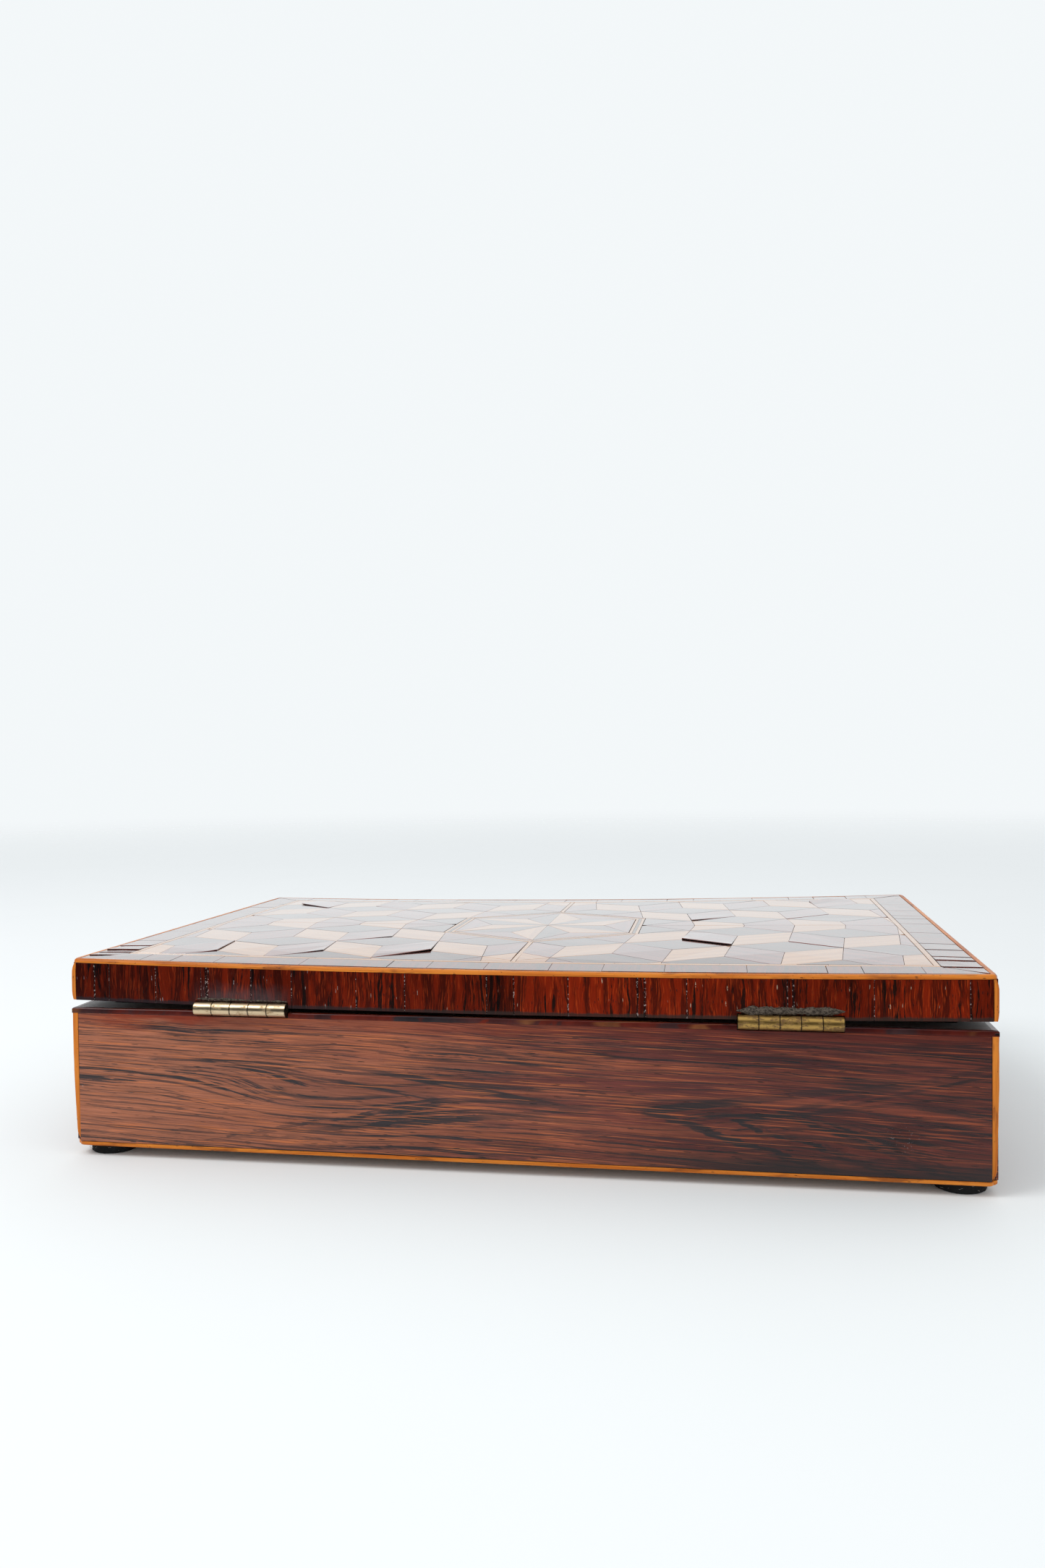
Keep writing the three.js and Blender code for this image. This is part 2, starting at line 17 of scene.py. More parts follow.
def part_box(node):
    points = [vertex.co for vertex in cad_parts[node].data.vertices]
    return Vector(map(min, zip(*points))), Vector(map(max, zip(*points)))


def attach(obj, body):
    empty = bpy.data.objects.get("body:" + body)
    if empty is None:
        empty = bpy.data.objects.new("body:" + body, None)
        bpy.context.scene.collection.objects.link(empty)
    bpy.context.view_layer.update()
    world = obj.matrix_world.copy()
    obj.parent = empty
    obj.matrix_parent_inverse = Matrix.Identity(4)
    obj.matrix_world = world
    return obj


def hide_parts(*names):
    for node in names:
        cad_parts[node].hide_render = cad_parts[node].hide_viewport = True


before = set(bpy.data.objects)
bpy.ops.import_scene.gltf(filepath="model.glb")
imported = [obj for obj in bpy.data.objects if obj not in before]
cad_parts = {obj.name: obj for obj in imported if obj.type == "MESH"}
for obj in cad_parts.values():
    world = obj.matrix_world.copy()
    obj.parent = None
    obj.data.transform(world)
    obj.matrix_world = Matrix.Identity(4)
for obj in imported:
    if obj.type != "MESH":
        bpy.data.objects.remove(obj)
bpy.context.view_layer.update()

# %% [markdown]
# ## Sizes
# Every place comes from the model, so we read the case, its rim and its fittings from there. A few
# sizes of our own follow: how the lid has bowed with age, and the widths of the inlay. Lengths are
# in metres, so a size in millimetres is written as a number times MM.

# %% Sizes of the case and the inlay
MM = 0.001
case_low, case_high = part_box("base_bottom_string")
MIDDLE = (case_low + case_high) / 2
HALF_X, HALF_Y = (case_high.x - case_low.x) / 2, (case_high.y - case_low.y) / 2
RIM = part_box("base_left_wall")[1].z
SEAM = 1.2 * MM  # daylight under the middle of the lid
LID_HEIGHT = 14 * MM
LID_BOTTOM = RIM + SEAM
LID_TOP = LID_BOTTOM + LID_HEIGHT
BOW, WIND = 1.6 * MM, 1.9 * MM  # how far the lid's ends and its front corner have lifted
GLUE = 0.15 * MM
EDGE_RUN, EDGE_RISE = 2 * MM, 1.3 * MM  # width and height of the strings along the edges
BAND_LONG, BAND_END = 10.5 * MM, 12.5 * MM
FIELD_STRING = 1.8 * MM
BAND_X, BAND_Y = HALF_X - EDGE_RUN, HALF_Y - EDGE_RUN
STRING_X, STRING_Y = BAND_X - BAND_END, BAND_Y - BAND_LONG
FIELD_X, FIELD_Y = STRING_X - FIELD_STRING, STRING_Y - FIELD_STRING
ROOT_3 = math.sqrt(3)
RAY = 22.5 * MM  # side of the star's lozenges
STAR_APOTHEM = 1.5 * RAY
STAR_STRING = 3.6 * MM
LIP_HEIGHT, LIP_DEPTH = 1.7 * MM, 1.9 * MM  # the facing round the base's rim


def lid_lift(x, y):
    """How far the curved lid stands above flat at a point of its plan."""
    across = x / HALF_X
    return BOW * across**2 - WIND * across * (0.5 - (y - MIDDLE.y) / (2 * HALF_Y))


# The inlay has swollen off flat: heights in mm at distances in mm from the middle towards the back.
SWELLING = (
    (-93, 0), (-82, 0.3), (-64, 0.5), (-29, 0.9), (0, 1.2), (50, 1.25), (70, 1.2), (82, 0.65), (93, 0.2),
)


def swell(x, y):
    """How far the inlay bulges above the lid's edges at a point of its plan."""
    back = max(SWELLING[0][0], min(SWELLING[-1][0], (y - MIDDLE.y) / MM))
    for (near, low), (far, high) in zip(SWELLING, SWELLING[1:]):
        if back <= far:
            share = (back - near) / (far - near)
            height = low + (high - low) * share * share * (3 - 2 * share)
            return height * MM * (1 - min(1, abs(x) / BAND_X) ** 6)
    return 0.0


print("case:", round(2 * HALF_X / MM), "x", round(2 * HALF_Y / MM), "mm, rim at", round(RIM / MM, 1), "mm")

# %% [markdown]
# ## The camera
# The box is seen from behind, from a little above its lid and close by, with a lens wide enough to
# make its near edge look much longer than the far one. We turn the camera by three plain rotations:
# round the upright, then down a touch, then the slight tilt of a camera held by hand.

# %% Camera
CAMERA_PLACE = (-68.8 * MM, 463.1 * MM, 134.2 * MM)
HEADING, NOD, TILT = 189.57, 88.66, -0.69  # degrees
LENS = 27.15

camera_data = bpy.data.cameras.new("camera")
camera_data.lens = LENS
camera_data.clip_start = 0.01
camera = bpy.data.objects.new("camera", camera_data)
turned = ((HEADING, "Z"), (NOD, "X"), (TILT, "Z"))
turns = [Matrix.Rotation(math.radians(angle), 4, axis) for angle, axis in turned]
camera.matrix_world = Matrix.Translation(CAMERA_PLACE) @ turns[0] @ turns[1] @ turns[2]
bpy.context.scene.collection.objects.link(camera)
bpy.context.scene.camera = camera
print("camera stands", round((Vector(CAMERA_PLACE) - MIDDLE).length, 3), "m from the box")

# %% [markdown]
# ## Shader arithmetic
# A wood finish is mostly sums: a pattern is stretched, cut off at a level, and added to another.
# Wiring that by hand hides the sum. So a small class wraps a node's output, and adding or
# multiplying two of them adds the Math node for it. A second class holds one finish. Its `node`
# method makes any other node: it takes the type, the node's settings, and what its sockets get.


# %% Value and Finish
class Value:
    """An output of a node. Arithmetic on it adds Math nodes to its finish."""

    def __init__(self, finish, output):
        self.finish, self.output = finish, output

    def math(self, operation, *values):
        return self.finish.node("Math", {"operation": operation}, dict(enumerate(values)))

    def __add__(self, other):
        return self.math("ADD", self, other)

    def __sub__(self, other):
        return self.math("SUBTRACT", self, other)

    def __rsub__(self, other):
        return self.math("SUBTRACT", other, self)

    def __mul__(self, other):
        return self.math("MULTIPLY", self, other)

    def __abs__(self):
        return self.math("ABSOLUTE", self)

    __radd__ = __add__
    __rmul__ = __mul__


class Finish:
    """A material while it is being mixed, with a method for each thing that a polisher repeats."""

    def __init__(self, name, constants=None):
        self.material = bpy.data.materials.new(name)
        self.material.use_nodes = True
        self.tree = self.material.node_tree
        self.shader = self.tree.nodes["Principled BSDF"]
        for socket, number in (constants or {}).items():
            self.shader.inputs[socket].default_value = number

    def node(self, kind, settings=None, sockets=None, output=0):
        made = self.tree.nodes.new("ShaderNode" + kind)
        for name, setting in (settings or {}).items():
            setattr(made, name, setting)
        for name, content in (sockets or {}).items():
            if isinstance(content, Value):
                self.tree.links.new(content.output, made.inputs[name])
            else:
                made.inputs[name].default_value = content
        return Value(self, made.outputs[output])

    def place(self):
        """Where a point lies in the box, in millimetres."""
        point = self.node("TexCoord", output="Object")
        return self.node("VectorMath", {"operation": "SCALE"}, {0: point, "Scale": 1 / MM})

    def plank(self):
        """Where a point of a cut piece lay in its plank: along, across and through the grain."""
        return self.node("Attribute", {"attribute_name": "plank"}, output="Vector")

    def split(self, vector):
        return [self.node("SeparateXYZ", sockets={0: vector}, output=i) for i in range(3)]

    def join(self, *values):
        return self.node("CombineXYZ", sockets=dict(enumerate(values)))

    def cloud(self, vector, stretch, detail=2, rough=0.5, seed=0):
        """Noise from 0 to 1 whose blotches are about as long as stretch says, in millimetres."""
        scale = [1 / s for s in stretch]
        shift = (seed * 17.31, seed * 7.77, seed * 3.13)
        moved = self.node("Mapping", sockets={"Vector": vector, "Scale": scale, "Location": shift})
        amounts = {"Vector": moved, "Scale": 1, "Detail": detail, "Roughness": rough}
        return self.node("TexNoise", sockets=amounts)

    def cells(self, vector, stretch, output, feature="F1", seed=0):
        scale = [1 / s for s in stretch]
        shift = (seed * 5.71, seed * 9.13, seed * 1.37)
        moved = self.node("Mapping", sockets={"Vector": vector, "Scale": scale, "Location": shift})
        return self.node("TexVoronoi", {"feature": feature}, {"Vector": moved, "Scale": 1}, output)

    def rise(self, value, low, high):
        """0 below low, 1 above high, and a smooth slope between."""
        limits = {"Value": value, "From Min": low, "From Max": high}
        return self.node("MapRange", {"interpolation_type": "SMOOTHSTEP"}, limits)

    def larger(self, first, second):
        return self.node("Math", {"operation": "MAXIMUM"}, {0: first, 1: second})

    def length(self, vector):
        return self.node("VectorMath", {"operation": "LENGTH"}, {0: vector}, output="Value")

    def patches(self, vector, stretch, detail, rough, seed, low, high):
        """Noise cut off at two levels: blotches with a clear edge, 1 inside and 0 outside."""
        return self.rise(self.cloud(vector, stretch, detail, rough, seed), low, high)

    def tint(self, factor, first, second, way="MIX"):
        """first where factor is 0 and second where it is 1."""
        settings = {"data_type": "RGBA", "blend_type": way}
        first, second = [c if isinstance(c, Value) else colour(*c) for c in (first, second)]
        return self.node("Mix", settings, {0: factor, 6: first, 7: second}, output=2)

    def graded(self, shade, factor, first, second):
        """The shade multiplied by one colour where factor is 0 and by another where it is 1."""
        return self.tint(1, shade, self.tint(factor, first, second), "MULTIPLY")

    def dashes(self, vector, stretch, share, seed=0, thin=0.2):
        """Short strokes along the grain, in that share of the cells."""
        near = self.cells(vector, stretch, "Distance", seed=seed)
        chance = self.split(self.cells(vector, stretch, "Color", seed=seed))[0]
        return (1 - self.rise(near, thin * 0.6, thin)) * self.rise(chance, 1 - share, 1.01 - share)

    def feed(self, socket, value):
        self.tree.links.new(value.output, self.shader.inputs[socket])

    def relief(self, height):
        """Bumps from a height in millimetres."""
        sockets = {"Height": height, "Distance": MM, "Strength": 1.0}
        self.feed("Normal", self.node("Bump", sockets=sockets))

    def polish(self, shade, roughness, height):
        """The last step of every finish: its colour, its roughness and its relief."""
        self.feed("Base Color", shade)
        self.feed("Roughness", roughness)
        self.relief(height)
        return self


def colour(red, green, blue):
    return (red, green, blue, 1)


def grey(level):
    return (level, level, level)


def dimmed(shade, share):
    return tuple(c * share for c in shade)


print("a finish is mixed from", len([m for m in dir(Finish) if not m.startswith("_")]), "kinds of step")

# %% [markdown]
# ## Long-grain rosewood
# The case is faced with rosewood cut along the grain: red-brown, with inky lines that wander,
# meet and part. Growth rings cut lengthwise look like height lines on a map. So we bend the
# across-grain coordinate with slow noise, and read bands from the bent one. Where the bending is
# strong the bands close into loops and flames, as they do near a knot. Open pores are short dark
# dashes, and lighter fibres catch the light.

# %% Rosewood along the grain
X, Y, Z = 0, 1, 2
BRIGHT_HINGE, DULL_HINGE = 89, -89  # X of the hinges' middles, in mm
RED_BAND_AT = 118  # X where the red band below the rim is darkest, in mm
SCUFF_PLACE = (-122, 93.6, 17)
OPEN_PORE = (0.004, 0.003, 0.003)
FRENCH_POLISH = {
    "IOR": 1.5, "Coat Weight": 1.0, "Coat Roughness": 0.06, "Coat IOR": 1.7, "Coat Tint": (1, 0.97, 0.965, 1),
}


def growth_lines(finish, vector, wander, seed, slow=(120, 26, 60), quick=(30, 6, 30)):
    """The same place in the wood with the rings pulled about by up to wander millimetres."""
    along, across, through = finish.split(vector)
    drift = (finish.cloud(vector, slow, 2, 0.4, seed) - 0.5) * wander
    ripple = (finish.cloud(vector, quick, 2, 0.5, seed + 1) - 0.5) * (wander * 0.12)
    return finish.join(along, across + drift + ripple, through)


def flame(finish, along, across, middle, size, height):
    """A long mound under the growth rings. Cut flat, it shows as a flame with pointed ends."""
    near = finish.join((along - middle[0]) * (1 / size[0]), (across - middle[1]) * (1 / size[1]), 0)
    return (1 - finish.rise(finish.length(near), 0.0, 1.0)) * height


def arches(finish, along, across, tip, opens, lean, steep, seed):
    """Nested pointed arches, where the cut ran through a bend of the rings. opens is 1 or -1."""
    ragged = finish.cloud(finish.join(along, across, 0), (24, 4, 10), 4, 0.65, seed) - 0.5
    inside = (along - tip[0]) * opens
    aside = abs(across - tip[1] - inside * lean + ragged * 3)
    arch = inside - aside * steep + ragged * 12
    nested = finish.patches(finish.join(arch, 0, 0), (30, 1, 1), 4, 0.65, seed + 1, 0.52, 0.57)
    outline = (1 - finish.rise(abs(arch - 2), 1.5, 4)) * finish.rise(ragged, -0.16, -0.04)
    line = nested * finish.rise(arch, 0, 4) * (1 - finish.rise(inside, 70, 120))
    outline = outline * finish.rise(inside, -8, 0) * (1 - finish.rise(inside, 55, 85))
    return finish.larger(line, outline)


def long_grain(name, axes, seed, pale=None, flames=(), bends=(), slope=0.03, wander=9, red=1.0, deep=1.0):
    """axes gives the box's axes that run along, across and through the grain."""
    finish = Finish(name, {"IOR": 1.5, "Specular IOR Level": 0.34})
    place = finish.split(finish.place())
    along, across, through = [place[a] for a in axes]
    board = finish.join(along, across - along * slope, through)
    raised = board
    for middle, size, height in flames:
        lifted = finish.split(raised)
        mound = flame(finish, along, across, middle, size, height)
        raised = finish.join(lifted[0], lifted[1] + mound, lifted[2])
    rings = growth_lines(finish, raised, wander, seed)
    feather = finish.cloud(rings, (7, 0.5, 20), 4, 0.7, seed + 1) - 0.5
    band = finish.rise(finish.cloud(rings, (180, 4, 50), 5, 0.65, seed + 2) + feather * 0.12, 0.42, 0.58)
    patch = finish.patches(board, (60, 12, 40), 2, 0.5, seed + 3, 0.38, 0.58)
    ink = finish.rise(finish.cloud(rings, (85, 1.4, 50), 4, 0.68, seed + 4) + feather * 0.24, 0.54, 0.59)
    for i, bend in enumerate(bends):
        ink = finish.larger(ink, arches(finish, along, across, *bend, seed + 60 + i))
    thread = finish.rise(finish.cloud(rings, (60, 0.75, 50), 3, 0.5, seed + 5) + feather * 0.12, 0.55, 0.60)
    # The fibres themselves run straight on under the figure.
    fibre = finish.cloud(board, (16, 0.55, 20), 4, 0.7, seed + 6)
    glow = finish.patches(board, (30, 0.45, 20), 2, 0.5, seed + 7, 0.57, 0.65)
    pore = finish.dashes(board, (8, 0.6, 3), 0.36, seed + 8, 0.2)
    light = (0.245 * deep, 0.064 * deep**2, 0.030 * deep**2)
    dark = (0.118 * deep, 0.024 * deep**2, 0.018 * deep**2)
    shade = finish.tint(band, light, dark)
    shade = finish.graded(shade, patch, grey(1.08), (0.76, 0.73, 0.76))
    if pale:
        shade = finish.tint(pale(finish, place), shade, (0.350, 0.128, 0.066))
    shade = finish.tint(ink * (0.5 + patch * 0.46), shade, (0.018, 0.015, 0.018))
    shade = finish.tint(thread * 0.7, shade, (0.024, 0.015, 0.017))
    shade = finish.tint(glow * 0.62, shade, (0.50 * red, 0.140 * deep, 0.040 * deep))
    shade = finish.graded(shade, fibre, (0.0, 0.0, 0.02), (2.1, 2.07, 2.02))
    shade = finish.tint(pore * 0.95, shade, OPEN_PORE)
    return finish, board, shade, fibre * 0.010 - pore * 0.035


def hand_rubbed(finish, board, seed, roughness):
    """A polish rubbed on by hand: its roughness varies in patches, and its surface has slow waves."""
    haze = finish.cloud(board, (30, 18, 20), 3, 0.6, seed)
    wave = finish.cloud(board, (20, 9, 20), 1, 0.5, seed + 1)
    return roughness + (haze - 0.5) * 0.2, wave * 0.03


def back_panel():
    """The back: flames in its figure, paler grain at one end, and red painted shade below the rim, most by a
    hinge.
    """
    flames = (((66, 21), (62, 13), 6), ((-100, 22), (64, 13), -4))
    bends = (
        ((-30, 22), 1, 0.02, 7.5), ((15, 23), 1, -0.02, 6),
        ((-40, 23), -1, -0.08, 4.5), ((-85, 24), -1, -0.06, 3.2),
    )
    figure = {"pale": paler_at_one_end, "flames": flames, "bends": bends, "slope": 0.035}
    finish, board, shade, height = long_grain("rosewood_back", (X, Z, Y), 3, **figure)
    point = finish.place()
    place = finish.split(point)
    cloud = finish.cloud(board, (26, 6, 20), 3, 0.6, 45)
    below_rim = (RIM / MM) - place[Z]
    # Painted shade under the lid's overhang: darker and redder below the rim, most of all by the bright
    # hinge.
    beside = 1 - finish.rise(abs(place[X] - RED_BAND_AT), 12, 26)
    stain = (1 - finish.rise(below_rim + (cloud - 0.5) * 9, 3.2, 6.5)) * (0.35 + beside * 0.65)
    shade = finish.tint(stain * 0.8, shade, (0.255, 0.030, 0.006))
    shade = finish.graded(shade, stain, grey(1), (0.8, 0.7, 0.7))
    # The other end is dark. Its foot is painted almost black: painted shade from the shadowed floor.
    end = finish.rise(place[X] * -1 + (cloud - 0.5) * 60, -40, 150)
    shade = finish.graded(shade, end, grey(1), (0.54, 0.39, 0.40))
    foot = (1 - finish.rise(place[Z] + (cloud - 0.5) * 10, 6.5, 13)) * finish.rise(place[X] * -1, 10, 90)
    shade = finish.tint(foot * 0.85, shade, (0.012, 0.010, 0.011))
    # Scuffs: a rubbed grey patch, a few specks, and two scratches.
    ends = {0: point, 1: SCUFF_PLACE}
    apart = finish.node("VectorMath", {"operation": "DISTANCE"}, ends, output="Value")
    scuff = 1 - finish.rise(apart, 2.5, 6)
    flecks = finish.patches(point, (0.7, 0.7, 0.7), 3, 0.7, 47, 0.60, 0.68)
    shade = finish.tint(scuff * flecks * 0.6, shade, (0.20, 0.19, 0.20))
    speck = finish.dashes(finish.join(place[X], place[Z], place[Y]), (4.2, 4.2, 9), 0.10, 48, 0.045)
    shade = finish.tint(speck * 0.75, shade, (0.45, 0.36, 0.33))
    hazy, wavy = hand_rubbed(finish, board, 49, 0.25)
    return finish.polish(shade, hazy - stain * 0.1 + scuff * 0.2, height + wavy)


def plain_panel(name, axes, seed, **figure):
    finish, board, shade, height = long_grain(name, axes, seed, **figure)
    hazy, wavy = hand_rubbed(finish, board, seed + 9, 0.24)
    return finish.polish(shade, hazy, height + wavy)


def paler_at_one_end(finish, place):
    """The case is paler towards +X, in streaks."""
    streaks = finish.cloud(finish.join(place[0], place[2], place[1]), (80, 7, 60), 2, 0.5, 40)
    return finish.rise(place[0] + (streaks - 0.5) * 170, -70, 170) * 0.72


case_back = back_panel()
front_flames = (((-30, 26), (80, 13), 12), ((96, 20), (44, 11), -10))
case_front = plain_panel("rosewood_front", (X, Z, Y), 21, flames=front_flames)
case_ends = plain_panel("rosewood_ends", (Y, Z, X), 33, flames=(((20, 24), (60, 12), 10),))
rim_facing = plain_panel("rosewood_rim", (X, Y, Z), 52, red=0.35, deep=0.42)
print("long grain:", case_back.material.name, "has", len(case_back.tree.nodes), "nodes")

# %% [markdown]
# ## Cross-grain rosewood
# The lid's edges and the band round its top are laid with the grain running across the strip, in
# short lengths butted end to end. Each length comes from another spot of the plank, so streaks
# stop dead at a joint. A row of cells along the strip picks the spot for each length, and the
# distance to a cell's border draws the joint. Old polish and dust have filled many pores pale.

# %% Rosewood across the grain
CROSS_LIGHT, CROSS_DARK = (0.138, 0.011, 0.0015), (0.050, 0.005, 0.002)
INK = (0.006, 0.004, 0.004)
DUST = (0.34, 0.29, 0.27)


def streaky(finish, board, seed, dusty):
    """Colour, relief and pale pores of narrow upright streaks on a board (along, across, through)."""
    rings = growth_lines(finish, board, 3, seed, (15, 7, 30), (5, 2.5, 20))
    feather = finish.cloud(rings, (3.2, 0.36, 10), 3, 0.65, seed + 1) - 0.5
    band = finish.rise(finish.cloud(rings, (34, 2.8, 30), 3, 0.6, seed + 2) + feather * 0.25, 0.42, 0.58)
    inky = finish.patches(board, (60, 9, 30), 2, 0.5, seed + 9, 0.35, 0.65) * 0.14
    blot = finish.cloud(rings, (24, 1.35, 30), 3, 0.6, seed + 3)
    ink = finish.rise(blot + feather * 0.3 + inky, 0.64, 0.72)
    fine = finish.cloud(rings, (5.5, 0.30, 10), 4, 0.7, seed + 4)
    glow = finish.patches(rings, (6, 0.38, 10), 2, 0.5, seed + 5, 0.56, 0.68)
    filled = finish.dashes(rings, (6, 1.1, 3), dusty, seed + 6, 0.17)
    pore = finish.dashes(rings, (3.5, 0.6, 3), 0.3, seed + 7, 0.2)
    broken = finish.patches(board, (0.5, 0.5, 0.5), 2, 0.6, seed + 8, 0.38, 0.52)
    shade = finish.tint(band, CROSS_LIGHT, CROSS_DARK)
    shade = finish.tint(glow * 0.5, shade, (0.33, 0.048, 0.008))
    shade = finish.tint(ink * 0.93, shade, INK)
    shade = finish.graded(shade, fine, (0.3, 0.28, 0.28), (1.75, 1.7, 1.7))
    shade = finish.tint(pore * 0.9, shade, OPEN_PORE)
    shade = finish.tint(filled * broken * 0.8, shade, DUST)
    return shade, fine * 0.012 - pore * 0.04 + filled * 0.02, filled


def edge_band(name, run, seed, length=22, dusty=0.24):
    """The lid's edge veneer. run is the box's axis that the strip follows."""
    finish = Finish(name, {"IOR": 1.5, "Specular IOR Level": 0.1})
    point = finish.place()
    place = finish.split(point)
    lengths = finish.join(place[run], 0, 0)
    spot = finish.split(finish.cells(lengths, (length, 1, 1), "Color", seed=seed))
    border = finish.cells(lengths, (length, 1, 1), "Distance", "DISTANCE_TO_EDGE", seed)
    joint = 1 - finish.rise(border, 0.003, 0.008)
    board = finish.join(place[Z] + spot[0] * 90, place[run] + spot[1] * 60, spot[2] * 40)
    shade, height, filled = streaky(finish, board, seed, dusty)
    shade = finish.graded(shade, spot[2], (0.62, 0.58, 0.6), (1.3, 1.2, 1.1))
    # Painted shade: the bottom arris is painted dark, and this line follows the curve of the lid.
    across = place[X] * (MM / HALF_X)
    curve = across * across * (BOW / MM)
    back = 0.5 - (place[Y] - MIDDLE.y / MM) * (MM / (2 * HALF_Y))
    above = place[Z] - LID_BOTTOM / MM - curve + across * back * (WIND / MM)
    ragged = finish.cloud(point, (3, 3, 3), 3, 0.6, seed + 11)
    rubbed = 1 - finish.rise(above + (ragged - 0.5) * 1.2, 0.7, 1.5)
    shade = finish.tint(rubbed * 0.85, shade, (0.030, 0.020, 0.020))
    if run == X:
        end = finish.rise(place[X], -40, 130)
        shade = finish.graded(shade, end, (0.97, 0.88, 0.7), (0.62, 0.6, 0.75))
        near_hinge = 1 - finish.rise(abs(place[X] - BRIGHT_HINGE), 8, 20)
        grime = near_hinge * (1 - finish.rise(above + (ragged - 0.5) * 5, 1, 9))
        shade = finish.tint(grime * 0.55, shade, (0.085, 0.070, 0.075))
    speck = finish.patches(point, (0.7, 0.7, 0.9), 2, 0.6, seed + 12, 0.54, 0.62)
    shade = finish.tint(joint * speck * 0.7, shade, DUST)
    shade = finish.tint(joint * (1 - speck) * 0.8, shade, OPEN_PORE)
    wave = finish.cloud(point, (9, 9, 9), 1, 0.5, seed + 13)
    roughness = 0.2 + rubbed * 0.22 + filled * 0.3
    return finish.polish(shade, roughness, height - joint * 0.05 + wave * 0.02)


lid_long_edges = edge_band("cross_grain_long_edges", X, 61)
lid_end_edges = edge_band("cross_grain_end_edges", Y, 75)


def cross_band():
    """The band round the lid's top, whose pieces carry their own plank coordinates."""
    finish = Finish("cross_grain_top", FRENCH_POLISH)
    board = finish.plank()
    shade, height, filled = streaky(finish, board, 88, 0.05)
    shade = finish.tint(0.25, shade, (0.10, 0.035, 0.02))
    roughness = 0.16 + filled * 0.3 + finish.cloud(board, (9, 9, 9), 2, 0.5, 89) * 0.08
    return finish.polish(shade, roughness, height)


top_band = cross_band()
print("cross grain:", lid_long_edges.material.name, "has", len(lid_long_edges.tree.nodes), "nodes")

# %% [markdown]
# ## Woods of the blocks
# A tumbling block needs three tones. The light one is a close, pale wood gone honey-coloured, and
# the other two are rosewoods, one purple-brown and one nearly black-brown. Every lozenge is cut
# from its own spot with its own direction of grain. That direction is stored on the mesh as the
# `plank` attribute, so one finish serves them all and still no two look alike.

# %% Inlay woods and stringing
CONTRAST = 0.3  # how far the fine fibres of an inlay wood stray from its colour


def inlay_wood(name, seed, light, dark, ink):
    finish = Finish(name, FRENCH_POLISH)
    board = finish.plank()
    rings = growth_lines(finish, board, 8, seed, (40, 14, 400), (12, 4, 300))
    band = finish.patches(rings, (80, 2.6, 400), 3, 0.55, seed + 1, 0.36, 0.64)
    line = finish.patches(rings, (50, 0.9, 400), 2, 0.5, seed + 2, 0.56, 0.66)
    fine = finish.cloud(rings, (7, 0.2, 60), 3, 0.6, seed + 3)
    pore = finish.dashes(rings, (3, 0.4, 30), 0.22, seed + 4)
    shade = finish.tint(band, light, dark)
    shade = finish.tint(line * ink, shade, dimmed(dark, 0.22))
    shade = finish.graded(shade, fine, grey(1 - CONTRAST), grey(1 + CONTRAST))
    shade = finish.tint(pore * ink, shade, dimmed(dark, 0.12))
    piece_tone = finish.cloud(board, (25, 25, 9), 1, 0.5, seed + 5)
    dish = finish.cloud(board, (11, 11, 30), 1, 0.5, seed + 6)
    roughness = 0.15 + (piece_tone - 0.5) * 0.12 + fine * 0.04
    return finish.polish(shade, roughness, fine * 0.005 - pore * ink * 0.02 + dish * 0.035)


light_wood = inlay_wood("satinwood", 101, (0.56, 0.29, 0.12), (0.42, 0.19, 0.07), 0.12)
middle_wood = inlay_wood("purple_rosewood", 112, (0.235, 0.068, 0.052), (0.125, 0.034, 0.032), 0.7)
dark_wood = inlay_wood("black_rosewood", 123, (0.098, 0.030, 0.022), (0.036, 0.013, 0.012), 0.8)


def stringing(name, seed, light, dark, wear, polish=FRENCH_POLISH):
    """Thin strips of pale wood under orange old polish, with dirt in their dents."""
    finish = Finish(name, polish)
    strip = finish.plank()
    band = finish.cloud(strip, (45, 1.6, 1.6), 3, 0.6, seed)
    fine = finish.cloud(strip, (5, 0.16, 0.16), 3, 0.6, seed + 1)
    speck = finish.patches(strip, (1.4, 0.7, 0.7), 3, 0.7, seed + 2, 0.63, 0.72)
    stain = finish.patches(strip, (14, 2.5, 2.5), 3, 0.6, seed + 3, 0.52, 0.70)
    nick = finish.dashes(strip, (2.8, 0.7, 0.7), 0.12, seed + 4, 0.22)
    shade = finish.tint(finish.rise(band, 0.32, 0.68), light, dark)
    shade = finish.graded(shade, fine, (0.70, 0.66, 0.6), (1.3, 1.34, 1.4))
    shade = finish.tint(stain * wear, shade, (0.22, 0.055, 0.012))
    shade = finish.tint(finish.rise(speck + nick, 0.2, 0.9) * wear, shade, (0.035, 0.012, 0.006))
    roughness = 0.3 + speck * 0.3 + (band - 0.5) * 0.2
    return finish.polish(shade, roughness, fine * 0.010 - speck * 0.03 - nick * 0.05 + band * 0.03)


WAXED = {"IOR": 1.5, "Specular IOR Level": 0.14}
edge_string = stringing("boxwood_edge", 131, (0.66, 0.215, 0.028), (0.45, 0.110, 0.011), 0.8, WAXED)
inlay_string = stringing("boxwood_inlay", 142, (0.60, 0.33, 0.15), (0.50, 0.25, 0.10), 0.25)
dark_string = stringing("stained_inlay", 153, (0.045, 0.018, 0.012), (0.025, 0.012, 0.01), 0.3)
print("inlay woods:", [f.material.name for f in (light_wood, middle_wood, dark_wood, edge_string)])

# %% [markdown]
# ## Plain wood, cloth and felt
# Inside and below there is no show wood. The carcase boards are softwood, stained dark where they
# meet the air, and the gaps of the parquetry look down on the same glue-blackened board. Velvet
# and felt are rough all over, and a little sheen on the velvet stands for its upright pile.

# %% Carcase, velvet and felt


